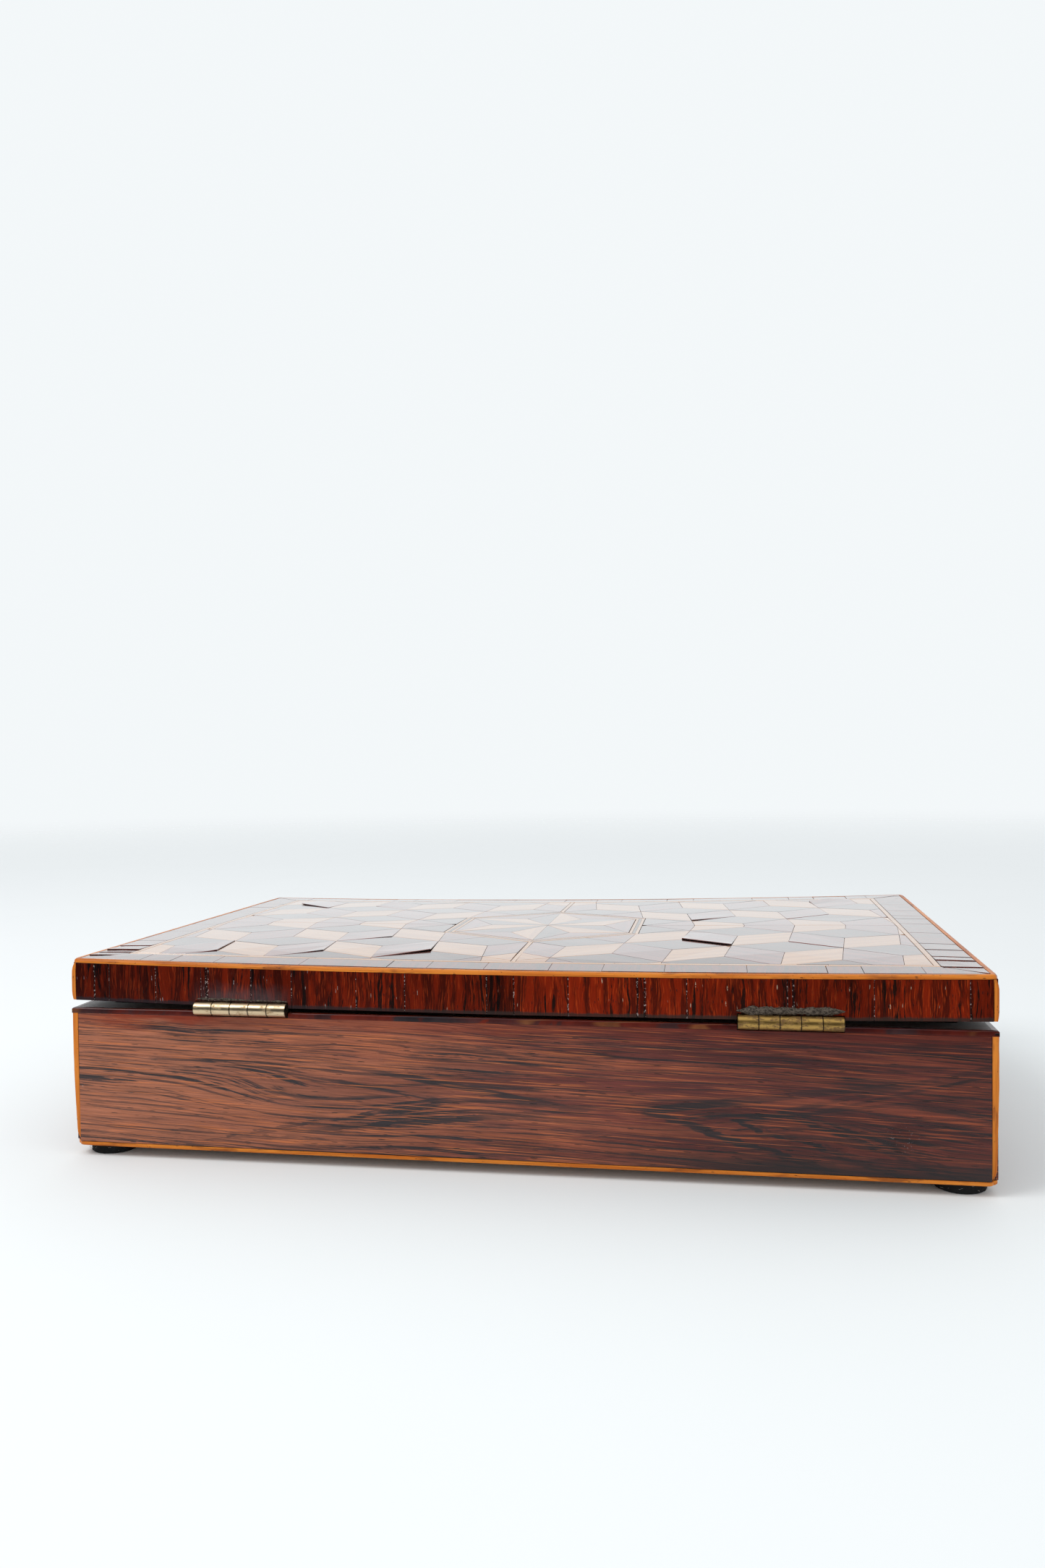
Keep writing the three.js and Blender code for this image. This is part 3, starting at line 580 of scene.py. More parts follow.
def carcase(name, axes, seed, light, dark, roughness=0.6):
    finish = Finish(name)
    place = finish.split(finish.place())
    board = finish.join(*[place[a] for a in axes])
    rings = growth_lines(finish, board, 20, seed)
    band = finish.patches(rings, (240, 3.4, 60), 3, 0.5, seed + 1, 0.38, 0.64)
    fine = finish.cloud(rings, (18, 0.3, 20), 3, 0.6, seed + 2)
    stain = finish.cloud(board, (60, 40, 40), 3, 0.6, seed + 3)
    shade = finish.tint(band, light, dark)
    shade = finish.graded(shade, fine, grey(0.6), grey(1.4))
    shade = finish.tint(finish.rise(stain, 0.5, 0.75) * 0.5, shade, dimmed(dark, 0.4))
    return finish.polish(shade, roughness + (fine - 0.5) * 0.3, fine * 0.03)


underside_wood = carcase("underside_wood", (X, Y, Z), 161, (0.30, 0.15, 0.065), (0.17, 0.075, 0.03))
STAINED = ((0.075, 0.024, 0.013), (0.035, 0.012, 0.008), 0.34)
rim_wood = carcase("stained_rims", (X, Y, Z), 172, *STAINED)
side_rim_wood = carcase("stained_side_rims", (Y, X, Z), 175, *STAINED)
glue_bed = carcase("glue_bed", (X, Y, Z), 178, (0.020, 0.012, 0.008), (0.010, 0.007, 0.005), 0.8)


def pile_cloth(name, seed, bright, deep, sheen, grain=0.35):
    finish = Finish(name, {"Sheen Weight": sheen, "Sheen Roughness": 0.35, "Specular IOR Level": 0.15})
    place = finish.place()
    nap = finish.cloud(place, (26, 18, 18), 3, 0.6, seed)
    rubbed = finish.patches(place, (7, 5, 5), 3, 0.65, seed + 1, 0.45, 0.72)
    tuft = finish.cloud(place, (grain, grain, grain), 2, 0.7, seed + 2)
    shade = finish.tint(finish.rise(nap + rubbed * 0.25, 0.35, 0.8), deep, bright)
    shade = finish.graded(shade, tuft, grey(0.45), grey(1.5))
    return finish.polish(shade, 0.86 + (tuft - 0.5) * 0.25, tuft * 0.12 + nap * 0.1)


velvet = pile_cloth("red_velvet", 181, (0.130, 0.013, 0.025), (0.078, 0.007, 0.016), 0.35)
felt = pile_cloth("black_felt", 191, (0.018, 0.018, 0.019), grey(0.008), 0.08, 0.5)
lint = pile_cloth("lint", 194, (0.45, 0.43, 0.40), (0.28, 0.27, 0.25), 0.0, 0.3)

# %% [markdown]
# ## Brass, steel and grime
# Brass is a metal only where it is clean. Tarnish is a brown skin that hides the metal, so it
# lowers Metallic and raises Roughness together. One hinge is rubbed bright and the other is brown
# with age. Wax and dust have set into a grey crust where the polishing cloth can't reach.

# %% Metals and grime
KNUCKLE_PITCH = 6.4  # mm


def brass_finish(name, seed, clean, tarnish, amount, roughness, knuckles=None):
    """knuckles is the X of a hinge's middle in mm: dirt sits in the joints between its knuckles."""
    finish = Finish(name)
    place = finish.place()
    cloud = finish.cloud(place, (5, 2.2, 2.2), 4, 0.65, seed)
    spots = finish.cloud(place, (0.9, 0.6, 0.6), 3, 0.7, seed + 1)
    drawn = finish.cloud(place, (9, 0.12, 0.12), 2, 0.6, seed + 2)
    stained = finish.rise(cloud + (spots - 0.5) * 0.5, 0.62 - amount * 0.3, 0.86 - amount * 0.4)
    shade = finish.tint(finish.rise(drawn, 0.3, 0.7), dimmed(clean, 0.8), clean)
    shade = finish.tint(stained, shade, tarnish)
    pit = finish.rise(spots, 0.66, 0.74)
    shade = finish.tint(pit * 0.8, shade, (0.03, 0.018, 0.010))
    if knuckles is not None:
        along = finish.split(place)[0] - knuckles + KNUCKLE_PITCH / 2
        from_joint = abs(finish.node("Math", {"operation": "PINGPONG"}, {0: along, 1: KNUCKLE_PITCH / 2}))
        wide = 0.16 + (spots - 0.5) * 0.5
        # The knuckles stand above the rim; the leaves below it have no joints.
        knuckle = finish.rise(finish.split(place)[Z], RIM / MM - 3, RIM / MM - 2)
        joint = (1 - finish.rise(from_joint - wide, -0.1, 0.14)) * knuckle
        shade = finish.tint(joint * 0.85, shade, (0.035, 0.022, 0.014))
    finish.feed("Metallic", 1 - stained * 0.55 - pit * 0.4)
    roughness = roughness + stained * 0.22 + pit * 0.2
    return finish.polish(shade, roughness, drawn * 0.006 + cloud * 0.05 - pit * 0.04)


bright_brass = brass_finish(
    "rubbed_brass", 201, (0.75, 0.58, 0.375), (0.32, 0.20, 0.09), 0.35, 0.3, BRIGHT_HINGE
)
dull_brass = brass_finish(
    "tarnished_brass", 212, (0.54, 0.335, 0.10), (0.17, 0.09, 0.028), 0.6, 0.36, DULL_HINGE
)
lock_brass = brass_finish("lock_brass", 223, (0.66, 0.50, 0.24), (0.20, 0.12, 0.05), 0.45, 0.32)
filed_steel = brass_finish("filed_steel", 234, (0.42, 0.41, 0.39), (0.14, 0.10, 0.08), 0.3, 0.34)


def old_wax():
    finish = Finish("old_wax", {"Specular IOR Level": 0.2})
    place = finish.place()
    lump = finish.cloud(place, (0.8, 0.5, 0.5), 4, 0.7, 241)
    shade = finish.tint(finish.rise(lump, 0.35, 0.65), (0.024, 0.017, 0.013), (0.125, 0.098, 0.076))
    return finish.polish(shade, 0.75 + lump * 0.2, lump * 0.35)


wax_crust = old_wax()
print("metals:", [f.material.name for f in (bright_brass, dull_brass, lock_brass, filed_steel)])

# %% [markdown]
# ## Cutting veneer
# Marquetry is flat shapes cut from planks. So the workbench is one class, Veneers, that collects
# many small closed solids into one mesh. Each solid notes where its points lay in the plank. A
# piece is cut from an outline by shrinking it by the width of the joint, and its top edge is
# eased a little, because a sharp edge would catch no light.


# %% Veneers
PLANK_REACH = 400  # mm from the plank's middle to its ends
SPLINTER = 0.35 * MM  # a piece thinner than this is left out
COINCIDENT = 0.08 * MM


class Veneers:
    """Small solids that make up one piece, each with its own spot in the plank."""

    def __init__(self, seed):
        self.points, self.planks, self.faces, self.finishes = [], [], [], []
        self.random = random.Random(seed)

    def spot(self):
        """A random place in the plank, in millimetres."""
        return Vector([self.random.uniform(-PLANK_REACH, PLANK_REACH) for _ in range(3)])

    def add(self, points, planks, faces, finish=0):
        first = len(self.points)
        self.points += points
        self.planks += planks
        self.faces += [[first + i for i in face] for face in faces]
        self.finishes += [finish] * len(faces)

    def build(self, name, body, finishes, stands_for=(), smooth=None):
        mesh = bpy.data.meshes.new(name)
        mesh.from_pydata(self.points, [], self.faces)
        for finish in finishes:
            mesh.materials.append(finish.material)
        mesh.polygons.foreach_set("material_index", self.finishes)
        plank = mesh.attributes.new("plank", "FLOAT_VECTOR", "POINT")
        plank.data.foreach_set("vector", [c for p in self.planks for c in p])
        if smooth:
            mesh.shade_smooth()
            mesh.set_sharp_from_angle(angle=math.radians(smooth))
        piece = bpy.data.objects.new(name, mesh)
        return finished(piece, body, stands_for)


def finished(piece, body, stands_for=()):
    """Puts a piece in the scene, on its body, in place of the solids that it stands for."""
    bpy.context.scene.collection.objects.link(piece)
    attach(piece, body)
    if stands_for:
        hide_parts(*stands_for)
    return piece


def turn_outwards(piece):
    """Makes every face of a closed piece look outwards."""
    shape = bmesh.new()
    shape.from_mesh(piece.data)
    bmesh.ops.recalc_face_normals(shape, faces=shape.faces)
    shape.to_mesh(piece.data)
    shape.free()


def prism(rings):
    """Faces of a closed solid between rings of points, each with as many points as the first."""
    count = len(rings[0])
    faces = [list(range(count))[::-1]]
    for r in range(len(rings) - 1):
        a, b = r * count, (r + 1) * count
        faces += [[a + i, a + (i + 1) % count, b + (i + 1) % count, b + i] for i in range(count)]
    return faces + [[(len(rings) - 1) * count + i for i in range(count)]]


def turned_left(outline):
    """The outline in counter-clockwise order."""
    area = sum(outline[i - 1].cross(p) for i, p in enumerate(outline))
    return outline if area > 0 else outline[::-1]


def shrunk(outline, distance):
    """A counter-clockwise outline with every side moved inwards."""
    moved = []
    for i, corner in enumerate(outline):
        before = (corner - outline[i - 1]).normalized()
        after = (outline[(i + 1) % len(outline)] - corner).normalized()
        inwards = [Vector((-d.y, d.x)) for d in (before, after)]
        share = max(0.3, 1 + inwards[0].dot(inwards[1]))
        moved.append(corner + (inwards[0] + inwards[1]) * (distance / share))
    return moved


def on_side(outline, point, direction):
    """The part of an outline on the side of a line that direction points to."""
    kept = []
    for i, here in enumerate(outline):
        last = outline[i - 1]
        a, b = (last - point).dot(direction), (here - point).dot(direction)
        if a * b < 0:
            kept.append(last.lerp(here, a / (a - b)))
        if b >= 0:
            kept.append(here)
    return kept


def big_enough(outline):
    """True unless nothing, or only a splinter, is left of an outline."""
    if len(outline) < 3:
        return False
    area = abs(sum(outline[i - 1].cross(p) for i, p in enumerate(outline))) / 2
    around = sum((p - outline[i - 1]).length for i, p in enumerate(outline))
    return area > SPLINTER * around


def tidy(outline):
    """The outline without points that nearly coincide."""
    return [p for i, p in enumerate(outline) if (p - outline[i - 1]).length > COINCIDENT]


JOINT = 0.05 * MM
EASE = 0.10 * MM
LAID = 0.9 * MM  # thickness of the laid pieces
CURLED = 0.25 * MM  # thickness of a piece that has come up
OUT_OF_LEVEL = 0.0018  # the steepest slope at which a piece may lie


def with_midpoints(outline):
    return [q for i, p in enumerate(outline) for q in (p, p.lerp(outline[(i + 1) % len(outline)], 0.5))]


def lay(veneers, outline, grain, finish=0, joint=JOINT, proud=0.03 * MM, lifted=None):
    """Lays one piece on the lid's curved top. grain is the direction of its grain in plan.
    lifted is the direction and the height of a side that has come unglued and curled up."""
    outline = turned_left(tidy(outline))
    spot, random_ = veneers.spot(), veneers.random
    middle = sum(outline, Vector((0, 0))) / len(outline)
    slope = Vector([random_.uniform(-1, 1) for _ in range(2)]) * OUT_OF_LEVEL
    height = LID_TOP - proud * random_.random()
    along = grain.normalized()
    rings = []
    thick = CURLED if lifted else LAID
    if lifted:
        outline = with_midpoints(with_midpoints(outline))
        reach = max((p - middle).dot(lifted[0]) for p in outline)
    for inset, drop in ((joint, thick), (joint, EASE), (joint + EASE, 0)):
        rings.append([(p, height - drop) for p in shrunk(outline, inset)])
    points, planks = [], []
    for p, z in [pair for ring in rings for pair in ring]:
        tilt = slope.dot(p - middle)
        bulge = swell(p.x, p.y) if z > height - LAID else 0
        if lifted:
            bulge += lifted[1] * max(0, 0.25 + 0.75 * (p - middle).dot(lifted[0]) / reach) ** 2
        points.append(Vector((p.x, p.y, z + tilt + bulge + lid_lift(p.x, p.y))))
        flat = (p - middle) / MM
        planks.append(spot + Vector((flat.dot(along), flat.cross(along), z / MM)))
    veneers.add(points, planks, prism(rings), finish)


print("a piece of veneer is laid", LAID / MM, "mm thick with", JOINT / MM, "mm of joint round it")

# %% [markdown]
# ## The tumbling blocks
# Three lozenges with angles of 60 degrees make a hexagon that looks like a cube: a light right
# side, a middle left side and a dark top. The maker laid one quarter of the lid and mirrored it, and
# every row runs a little downhill away from the middle. We do the same: one quarter is worked out in
# its own coordinates, from the middle of the lid towards one end and the back, then set four times.
# Where a lozenge meets the star's frame it is cut off along it.

# %% The field
LOZENGE = 21.8 * MM
DROOP = math.radians(6.5)
FIRST_CORNER = Vector((36.5, 22.2)) * MM
OUT = Vector((math.cos(DROOP), math.sin(DROOP)))  # along a row, away from the middle
DOWN = Vector((-math.sin(DROOP), math.cos(DROOP)))  # across the rows, towards the edge
STEP = LOZENGE * ROOT_3
HALF_WIDE = LOZENGE * ROOT_3 / 2
MIDDLE_STRING = 1.8 * MM
STAR_OUTER = STAR_APOTHEM + STAR_STRING
SLANT = Vector((0.5, ROOT_3 / 2))
MENDED = (2, 0, "dark")  # a bay that the maker filled with the light wood
# Pieces that have come up: (side, end, row, place) of a middle lozenge, then the direction of the
# raised side, as a share of OUT and of DOWN, and its height in mm.
RAISED = {
    (1, 1, 0, 1): ((-0.5, 0.85), 0.62), (1, -1, 1, 1): ((-0.95, 0.4), 0.75),
    (1, -1, 1, 2): ((-0.95, 0.3), 0.4), (1, -1, 1, 3): ((-1, 0.1), 0.4),
    (1, 1, 0, 2): ((-0.5, 0.85), 0.18), (-1, 1, 0, 1): ((-0.3, -0.9), 0.45),
    (-1, -1, 1, 3): ((0.7, -0.7), 0.6), (-1, -1, 1, 2): ((1, 0.3), 0.4),
    (1, -1, 0, 1): ((-0.8, 0.5), 0.25), (-1, 1, 0, 2): ((0.4, -0.9), 0.14),
    (-1, 1, 1, 3): ((-0.5, 0.8), 0.5),
}


def block_faces(corner):
    """The three lozenges that meet at the near corner of one block: wood, outline, grain."""
    right, left = OUT * HALF_WIDE, OUT * -HALF_WIDE
    half, whole = DOWN * (LOZENGE / 2), DOWN * LOZENGE
    yield "light", [corner, corner + right - half, corner + right + half, corner + whole], right - half
    yield "middle", [corner, corner + left - half, corner + left + half, corner + whole], left - half
    yield "dark", [corner, corner + right - half, corner - whole, corner + left - half], right + half


def round_the_star(outline):
    """What is left of an outline outside the star's frame, as one or two pieces."""
    edge = STAR_OUTER + GLUE
    if all(p.x >= edge for p in outline) or all(p.dot(SLANT) >= edge for p in outline):
        return [outline]
    beyond = on_side(outline, SLANT * edge, SLANT)
    beside = on_side(outline, SLANT * edge, -SLANT)
    beside = on_side(beside, Vector((edge, 0)), Vector((1, 0))) if beside else []
    return [beyond, beside]


def quarter():
    """Every piece of one quarter of the field: name, wood, outline, grain."""
    limits = [
        (Vector((MIDDLE_STRING / 2, 0)), Vector((1, 0))),
        (Vector((0, 0)), Vector((0, 1))),
        (Vector((FIELD_X - GLUE, 0)), Vector((-1, 0))),
        (Vector((0, FIELD_Y - GLUE)), Vector((0, -1))),
    ]
    for row in range(-3, 5):
        for place in range(-3, 6):
            corner = FIRST_CORNER + OUT * (STEP * (place - row / 2)) + DOWN * (1.5 * LOZENGE * row)
            for wood, outline, grain in block_faces(corner):
                for point, direction in limits:
                    outline = on_side(outline, point, direction) if outline else []
                if (row, place, wood) == MENDED:
                    wood = "light"
                for part in round_the_star(outline) if outline else []:
                    if big_enough(part):
                        yield (wood, row, place), part, grain


def on_lid(point, side=1, end=1):
    """From quarter coordinates to the lid's plan. side 1 is the back, end 1 is towards -X."""
    return Vector((-end * point.x, MIDDLE.y + side * point.y))


woods = {"light": 0, "middle": 1, "dark": 2}
field = Veneers(11)
for side in (1, -1):
    for end in (1, -1):
        for (wood, row, place), outline, grain in quarter():
            turned = Vector((-end * grain.x, side * grain.y))
            lifted = RAISED.get((side, end, row, place)) if wood == "middle" else None
            if lifted:
                (out, down), height = lifted
                towards = (OUT * out + DOWN * down).normalized()
                lifted = (Vector((-end * towards.x, side * towards.y)), height * MM)
            lay(field, [on_lid(p, side, end) for p in outline], turned, woods[wood], lifted=lifted)
for side in (1, -1):
    tip = STAR_OUTER / math.cos(math.pi / 6) + GLUE
    shoulder = tip - MIDDLE_STRING / 2 * math.tan(math.pi / 6)
    half = MIDDLE_STRING / 2 - GLUE / 2
    string = [(-half, shoulder), (0, tip), (half, shoulder), (half, FIELD_Y - GLUE), (-half, FIELD_Y - GLUE)]
    lay(field, [on_lid(Vector(p), side) for p in string], Vector((0, 1)), 3)
inlay_finishes = [light_wood, middle_wood, dark_wood, inlay_string]
field.build("tumbling_blocks", "lid", inlay_finishes, ["parquetry_field"])
print("the field has", len(field.points), "points")

# %% [markdown]
# ## The star
# A six-pointed star made of lozenges sits in a hexagon. Each ray is split along its length into a
# light half and a dark half, as if lit from one side, which makes the star look raised. Dark
# triangles fill the bays between the rays, and a triple string, pale, dark and pale, frames it.

# %% The star and its frame
RAY_TURNS = range(30, 390, 60)  # degrees


def ray_point(turn, radius):
    return Vector((math.cos(math.radians(turn)), math.sin(math.radians(turn)))) * radius


star = Veneers(12)
for turn in RAY_TURNS:
    tip = ray_point(turn, RAY * ROOT_3 - GLUE * 1.2)
    bays = {sign: ray_point(turn + 30 * sign, RAY) for sign in (1, -1)}
    for sign, wood in ((1, "light"), (-1, "dark")):
        outline = [Vector((0, 0)), tip, bays[sign]]
        lay(star, [on_lid(p) for p in outline], Vector((-tip.x, tip.y)), woods[wood])
    bay = [tip, ray_point(turn + 60, RAY * ROOT_3 - GLUE * 1.2), bays[1]]
    lay(star, [on_lid(p) for p in bay], on_lid(bay[1]) - on_lid(bay[0]), woods["middle"])
star.build("star_inlay", "lid", inlay_finishes, ["star_panel"])

frame_string = Veneers(13)
third = STAR_STRING / 3
for i, wood in enumerate((0, 1, 0)):
    radii = [(STAR_OUTER - third * (i + k)) / math.cos(math.pi / 6) for k in (0, 1)]
    for turn in RAY_TURNS:
        outline = [ray_point(turn, radii[0]), ray_point(turn + 60, radii[0]),
                   ray_point(turn + 60, radii[1]), ray_point(turn, radii[1])]
        laid = [on_lid(p) for p in outline]
        lay(frame_string, laid, laid[1] - laid[0], wood, joint=0.02 * MM)
frame_string.build("star_frame", "lid", [inlay_string, dark_string], ["star_string"])
print("the star has", len(star.faces) // 5, "pieces or so")

# %% [markdown]
# ## Cross-banding and the string inside it
# The band is laid in lengths of one to three centimetres with the grain pointing outwards, and it
# is mitred at the corners. Here a cut is a straight line across the strip, so each length is the
# mitred strip kept between two such lines. Some joints have opened as the wood shrank.

# %% The band
BAND_LENGTHS = (8, 30)  # mm, the shortest and the longest
LIFTED_END = 48 * MM  # how much of the end bands has come up, from the back
LIFTED_BY = (0.12, 0.34)  # mm
OPENED, OPEN_SHARE = 0.12 * MM, 0.2  # how far a joint has opened, and how many have


def rectangle(half_x, half_y):
    return [Vector(p) for p in ((-half_x, -half_y), (half_x, -half_y), (half_x, half_y), (-half_x, half_y))]


def in_plan(outline):
    """Points measured from the middle of the lid, moved to the box's plan."""
    return [Vector((p.x, p.y + MIDDLE.y)) for p in outline]


def mitred_sides(outer, inner):
    """The four sides between two rectangles: name, outline, direction along the side."""
    for i, name in enumerate(("front", "right", "back", "left")):
        j = (i + 1) % 4
        outline = [outer[i], outer[j], inner[j], inner[i]]
        yield name, outline, (outer[j] - outer[i]).normalized()


outer = rectangle(BAND_X - GLUE, BAND_Y - GLUE)
inner = rectangle(STRING_X + GLUE, STRING_Y + GLUE)
for name, outline, run in mitred_sides(outer, inner):
    band = Veneers("band " + name)
    start = outline[0]
    reach = (outline[1] - start).length
    at = 0
    while at < reach:
        length = band.random.uniform(*BAND_LENGTHS) * MM
        at_back = name in ("left", "right") and (start + run * at).y > BAND_Y - LIFTED_END
        length *= 0.5 if at_back else 1
        opened = OPENED if band.random.random() < OPEN_SHARE else 0
        come_up = (Vector((0, 1)), band.random.uniform(*LIFTED_BY) * MM) if at_back else None
        part = on_side(outline, start + run * (at + opened), run)
        part = on_side(part, start + run * min(at + length, reach), -run)
        if len(part) >= 3 and big_enough(part):
            lay(band, in_plan(part), Vector((-run.y, run.x)), proud=0.09 * MM, lifted=come_up)
        at += length
    band.build(f"lid_{name}_banding", "lid", [top_band], [f"lid_{name}_crossband"])

STRING_LENGTHS = 8  # the string inside the band is laid in this many lengths a side
string_ring = Veneers(15)
for name, outline, run in mitred_sides(rectangle(STRING_X, STRING_Y), rectangle(FIELD_X, FIELD_Y)):
    reach = (outline[1] - outline[0]).length
    for i in range(STRING_LENGTHS):
        part = on_side(outline, outline[0] + run * (reach * i / STRING_LENGTHS), run)
        part = on_side(part, outline[0] + run * (reach * (i + 1) / STRING_LENGTHS), -run)
        lay(string_ring, in_plan(part), run, joint=0.0, proud=0.02 * MM)
string_ring.build("field_string", "lid", [inlay_string], ["lid_field_string"])
print("banding and field string laid")

# %% [markdown]
# ## Strings on the edges
# Where two faces of the box meet, a strip of boxwood takes the knocks. Use has rounded it, more at
# the corners than between them. A string is a profile carried along a line: rings of points at
# steps along the edge, each moved a hair in or out by slow noise, so the edge isn't ruler-straight.

# %% Rounded strings
WEAR = 0.07 * MM
RUBBED_REACH = 4 * MM  # how far from its ends a string is rubbed back
STRING_SMOOTH = 40  # degrees: flatter edges than this shade as round


def rounded_profile(depth, rise, radius, steps=4):
    """A strip's section as (inset, height) points, with its outer top edge rounded."""
    arc = [math.radians(90 * i / steps) for i in range(steps + 1)]
    rounded = [(radius * (1 - math.cos(a)), rise - radius * (1 - math.sin(a))) for a in arc]
    return [(depth, 0), (0, 0)] + rounded + [(depth, rise)]


def run_strip(veneers, start_of, end_of, profile, base, lift=None, step=6 * MM, flip=False, rubbed=0.0):
    """Carries a profile from one line to another. start_of and end_of give the plan point for an inset.
    The strip is rubbed back by that much at its two ends, which rounds the corners of the ring."""
    length = (end_of(0) - start_of(0)).length
    count = max(2, round(length / step))
    spot = veneers.spot()
    seed = veneers.random.uniform(0, 100)
    points, planks = [], []
    places = [i / count for i in range(count + 1)]
    if rubbed:
        ends = RUBBED_REACH / length
        close = [RUBBED_REACH * k / 6 / length for k in range(6)]
        inner_places = [q for q in places if ends <= q <= 1 - ends]
        places = close + inner_places + [1 - q for q in reversed(close)]
    count = len(places) - 1
    for share in places:
        worn = WEAR * noise.noise(Vector((share * length / (9 * MM), seed, 0)))
        near_end = max(0, 1 - min(share, 1 - share) * length / RUBBED_REACH)
        for inset, height in profile:
            rub = max(0, worn) + rubbed * near_end**2
            rub *= max(0, 1 - inset / profile[0][0])
            p = start_of(inset + rub).lerp(end_of(inset + rub), share)
            z = base + (-height if flip else height)
            points.append(Vector((p.x, p.y, z + (lift(p.x, p.y) if lift else 0))))
            planks.append(spot + Vector((share * length, inset, height)) / MM)
    rings = [range(len(profile))] * (count + 1)
    faces = prism(rings)
    veneers.add(points, planks, [f[::-1] for f in faces] if flip else faces)


def corner_of(i):
    """The plan of a corner as a function of inset."""
    def corner(inset):
        return in_plan(rectangle(HALF_X - inset, HALF_Y - inset))[i % 4]
    return corner


def edge_ring(seed, name, body, node, radius, base, **run):
    """A string along all four edges of the lid's top or of the base's bottom."""
    ring = Veneers(seed)
    profile = rounded_profile(EDGE_RUN, EDGE_RISE, radius)
    for i in range(4):
        run_strip(ring, corner_of(i), corner_of(i + 1), profile, base, **run)
    ring.build(name, body, [edge_string], [node], STRING_SMOOTH)


on_top = {"base": LID_TOP - EDGE_RISE, "lift": lid_lift, "rubbed": 0.8 * MM}
at_foot = {"base": case_low.z + EDGE_RISE, "flip": True, "rubbed": 1.5 * MM}
edge_ring(21, "lid_arris_string", "lid", "lid_top_string", 1.05 * MM, **on_top)
edge_ring(22, "base_arris_string", "base", "base_bottom_string", 0.4 * MM, **at_foot)
print("edge strings run", round(4 * (HALF_X + HALF_Y), 2), "m round lid and base")

# %% [markdown]
# The upright strings are posts with one rounded corner. Near the bottom of the base and the top of
# the lid the whole corner is rubbed round, so the post leans in there.

# %% Corner posts
POST_ROUNDING = 0.3  # radius of a post's corner, as a share of its width
POST_STEP = 1.4 * MM
RUB_LOW, RUB_HIGH = 3.4 * MM, 3 * MM  # how far from its foot and from its top a post is rubbed round
LEAN_REACH = 32 * MM
CORNERS = [f"{side}_{end}" for side in ("front", "back") for end in ("left", "right")]


def corner_post(name, body, node, rub_bottom, rub_top, lift=None, top_gap=0.0, lean=0.0):
    low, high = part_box(node)
    sx = 1 if low.x + high.x > 0 else -1
    sy = 1 if (low.y + high.y) / 2 > MIDDLE.y else -1
    size = min(high.x - low.x, high.y - low.y)
    radius = size * POST_ROUNDING
    arc = [math.radians(90 * i / 5) for i in range(6)]
    profile = [(size, 0)] + [(radius * (1 - math.sin(a)), radius * (1 - math.cos(a))) for a in arc]
    profile += [(0, size), (size, size)]
    plan = Vector((sx * HALF_X, MIDDLE.y + sy * HALF_Y))
    bottom, top = low.z, high.z - top_gap
    if lift:
        bottom, top = LID_BOTTOM, LID_TOP - EDGE_RISE - GLUE
    post = Veneers(node)
    spot, seed = post.spot(), post.random.uniform(0, 100)
    count = max(4, round((top - bottom) / POST_STEP))
    points, planks = [], []
    for i in range(count + 1):
        z = bottom + (top - bottom) * i / count
        near_bottom = max(0, 1 - (z - bottom) / RUB_LOW)
        near_top = max(0, 1 - (top - z) / RUB_HIGH)
        rub = rub_bottom * near_bottom**2 + rub_top * near_top**2
        rub += lean * max(0, 1 - (z - bottom) / LEAN_REACH) ** 1.5
        rub += WEAR * 1.6 * max(0, noise.noise(Vector((z / (5 * MM), seed, 0))))
        for a, b in profile:
            ia, ib = a + rub * (1 - a / size), b + rub * (1 - b / size)
            x, y = plan.x - sx * ia, plan.y - sy * ib
            points.append(Vector((x, y, z + (lift(x, y) if lift else 0))))
            planks.append(spot + Vector((z, a, b)) / MM)
    faces = prism([range(len(profile))] * (count + 1))
    post.add(points, planks, faces if sx * sy < 0 else [f[::-1] for f in faces])
    post.build(name, body, [edge_string], [node], STRING_SMOOTH)


for corner in CORNERS:
    string = f"base_corner_string_{corner}"
    corner_post(f"base_post_{corner}", "base", string, 0.9 * MM, 0, top_gap=LIP_HEIGHT, lean=0.75 * MM)
    corner_post(f"lid_post_{corner}", "lid", f"lid_corner_string_{corner}", 0.3 * MM, 0.7 * MM, lid_lift)
print("eight corner posts")

# %% [markdown]
# ## The rim's facing and the veneers below it
# A thin facing of dark rosewood covers the top edge of the base, over the ends of the veneers, and
# stops at the hinges. The veneers themselves are copies of the model's solids, cut off below the
# facing. Copying is the safe way to keep their cut-outs: the solid isn't touched, and the copy can
# be cut and its edges eased.

# %% Facing, veneers and eased copies
hinge_gap = [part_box(f"{end}_hinge_pin") for end in ("left", "right")]
HINGE_PLAY = 0.2 * MM


def back_stop(x):
    """A plan point on the back at x, as a function of inset."""
    return lambda inset: Vector((x, MIDDLE.y + HALF_Y - inset))


facing = Veneers(31)
profile = rounded_profile(LIP_DEPTH, LIP_HEIGHT + 0.03 * MM, 0.55 * MM)
stops = [(corner_of(i), corner_of(i + 1)) for i in (0, 1, 3)]
cuts = [(low.x - HINGE_PLAY, high.x + HINGE_PLAY) for low, high in hinge_gap]
stops += [(corner_of(2), back_stop(cuts[1][1])), (back_stop(cuts[1][0]), back_stop(cuts[0][1]))]
stops += [(back_stop(cuts[0][0]), corner_of(3))]
for start, end in stops:
    run_strip(facing, start, end, profile, RIM - LIP_HEIGHT, step=9 * MM)
facing.build("rim_facing", "base", [rim_facing], smooth=40)


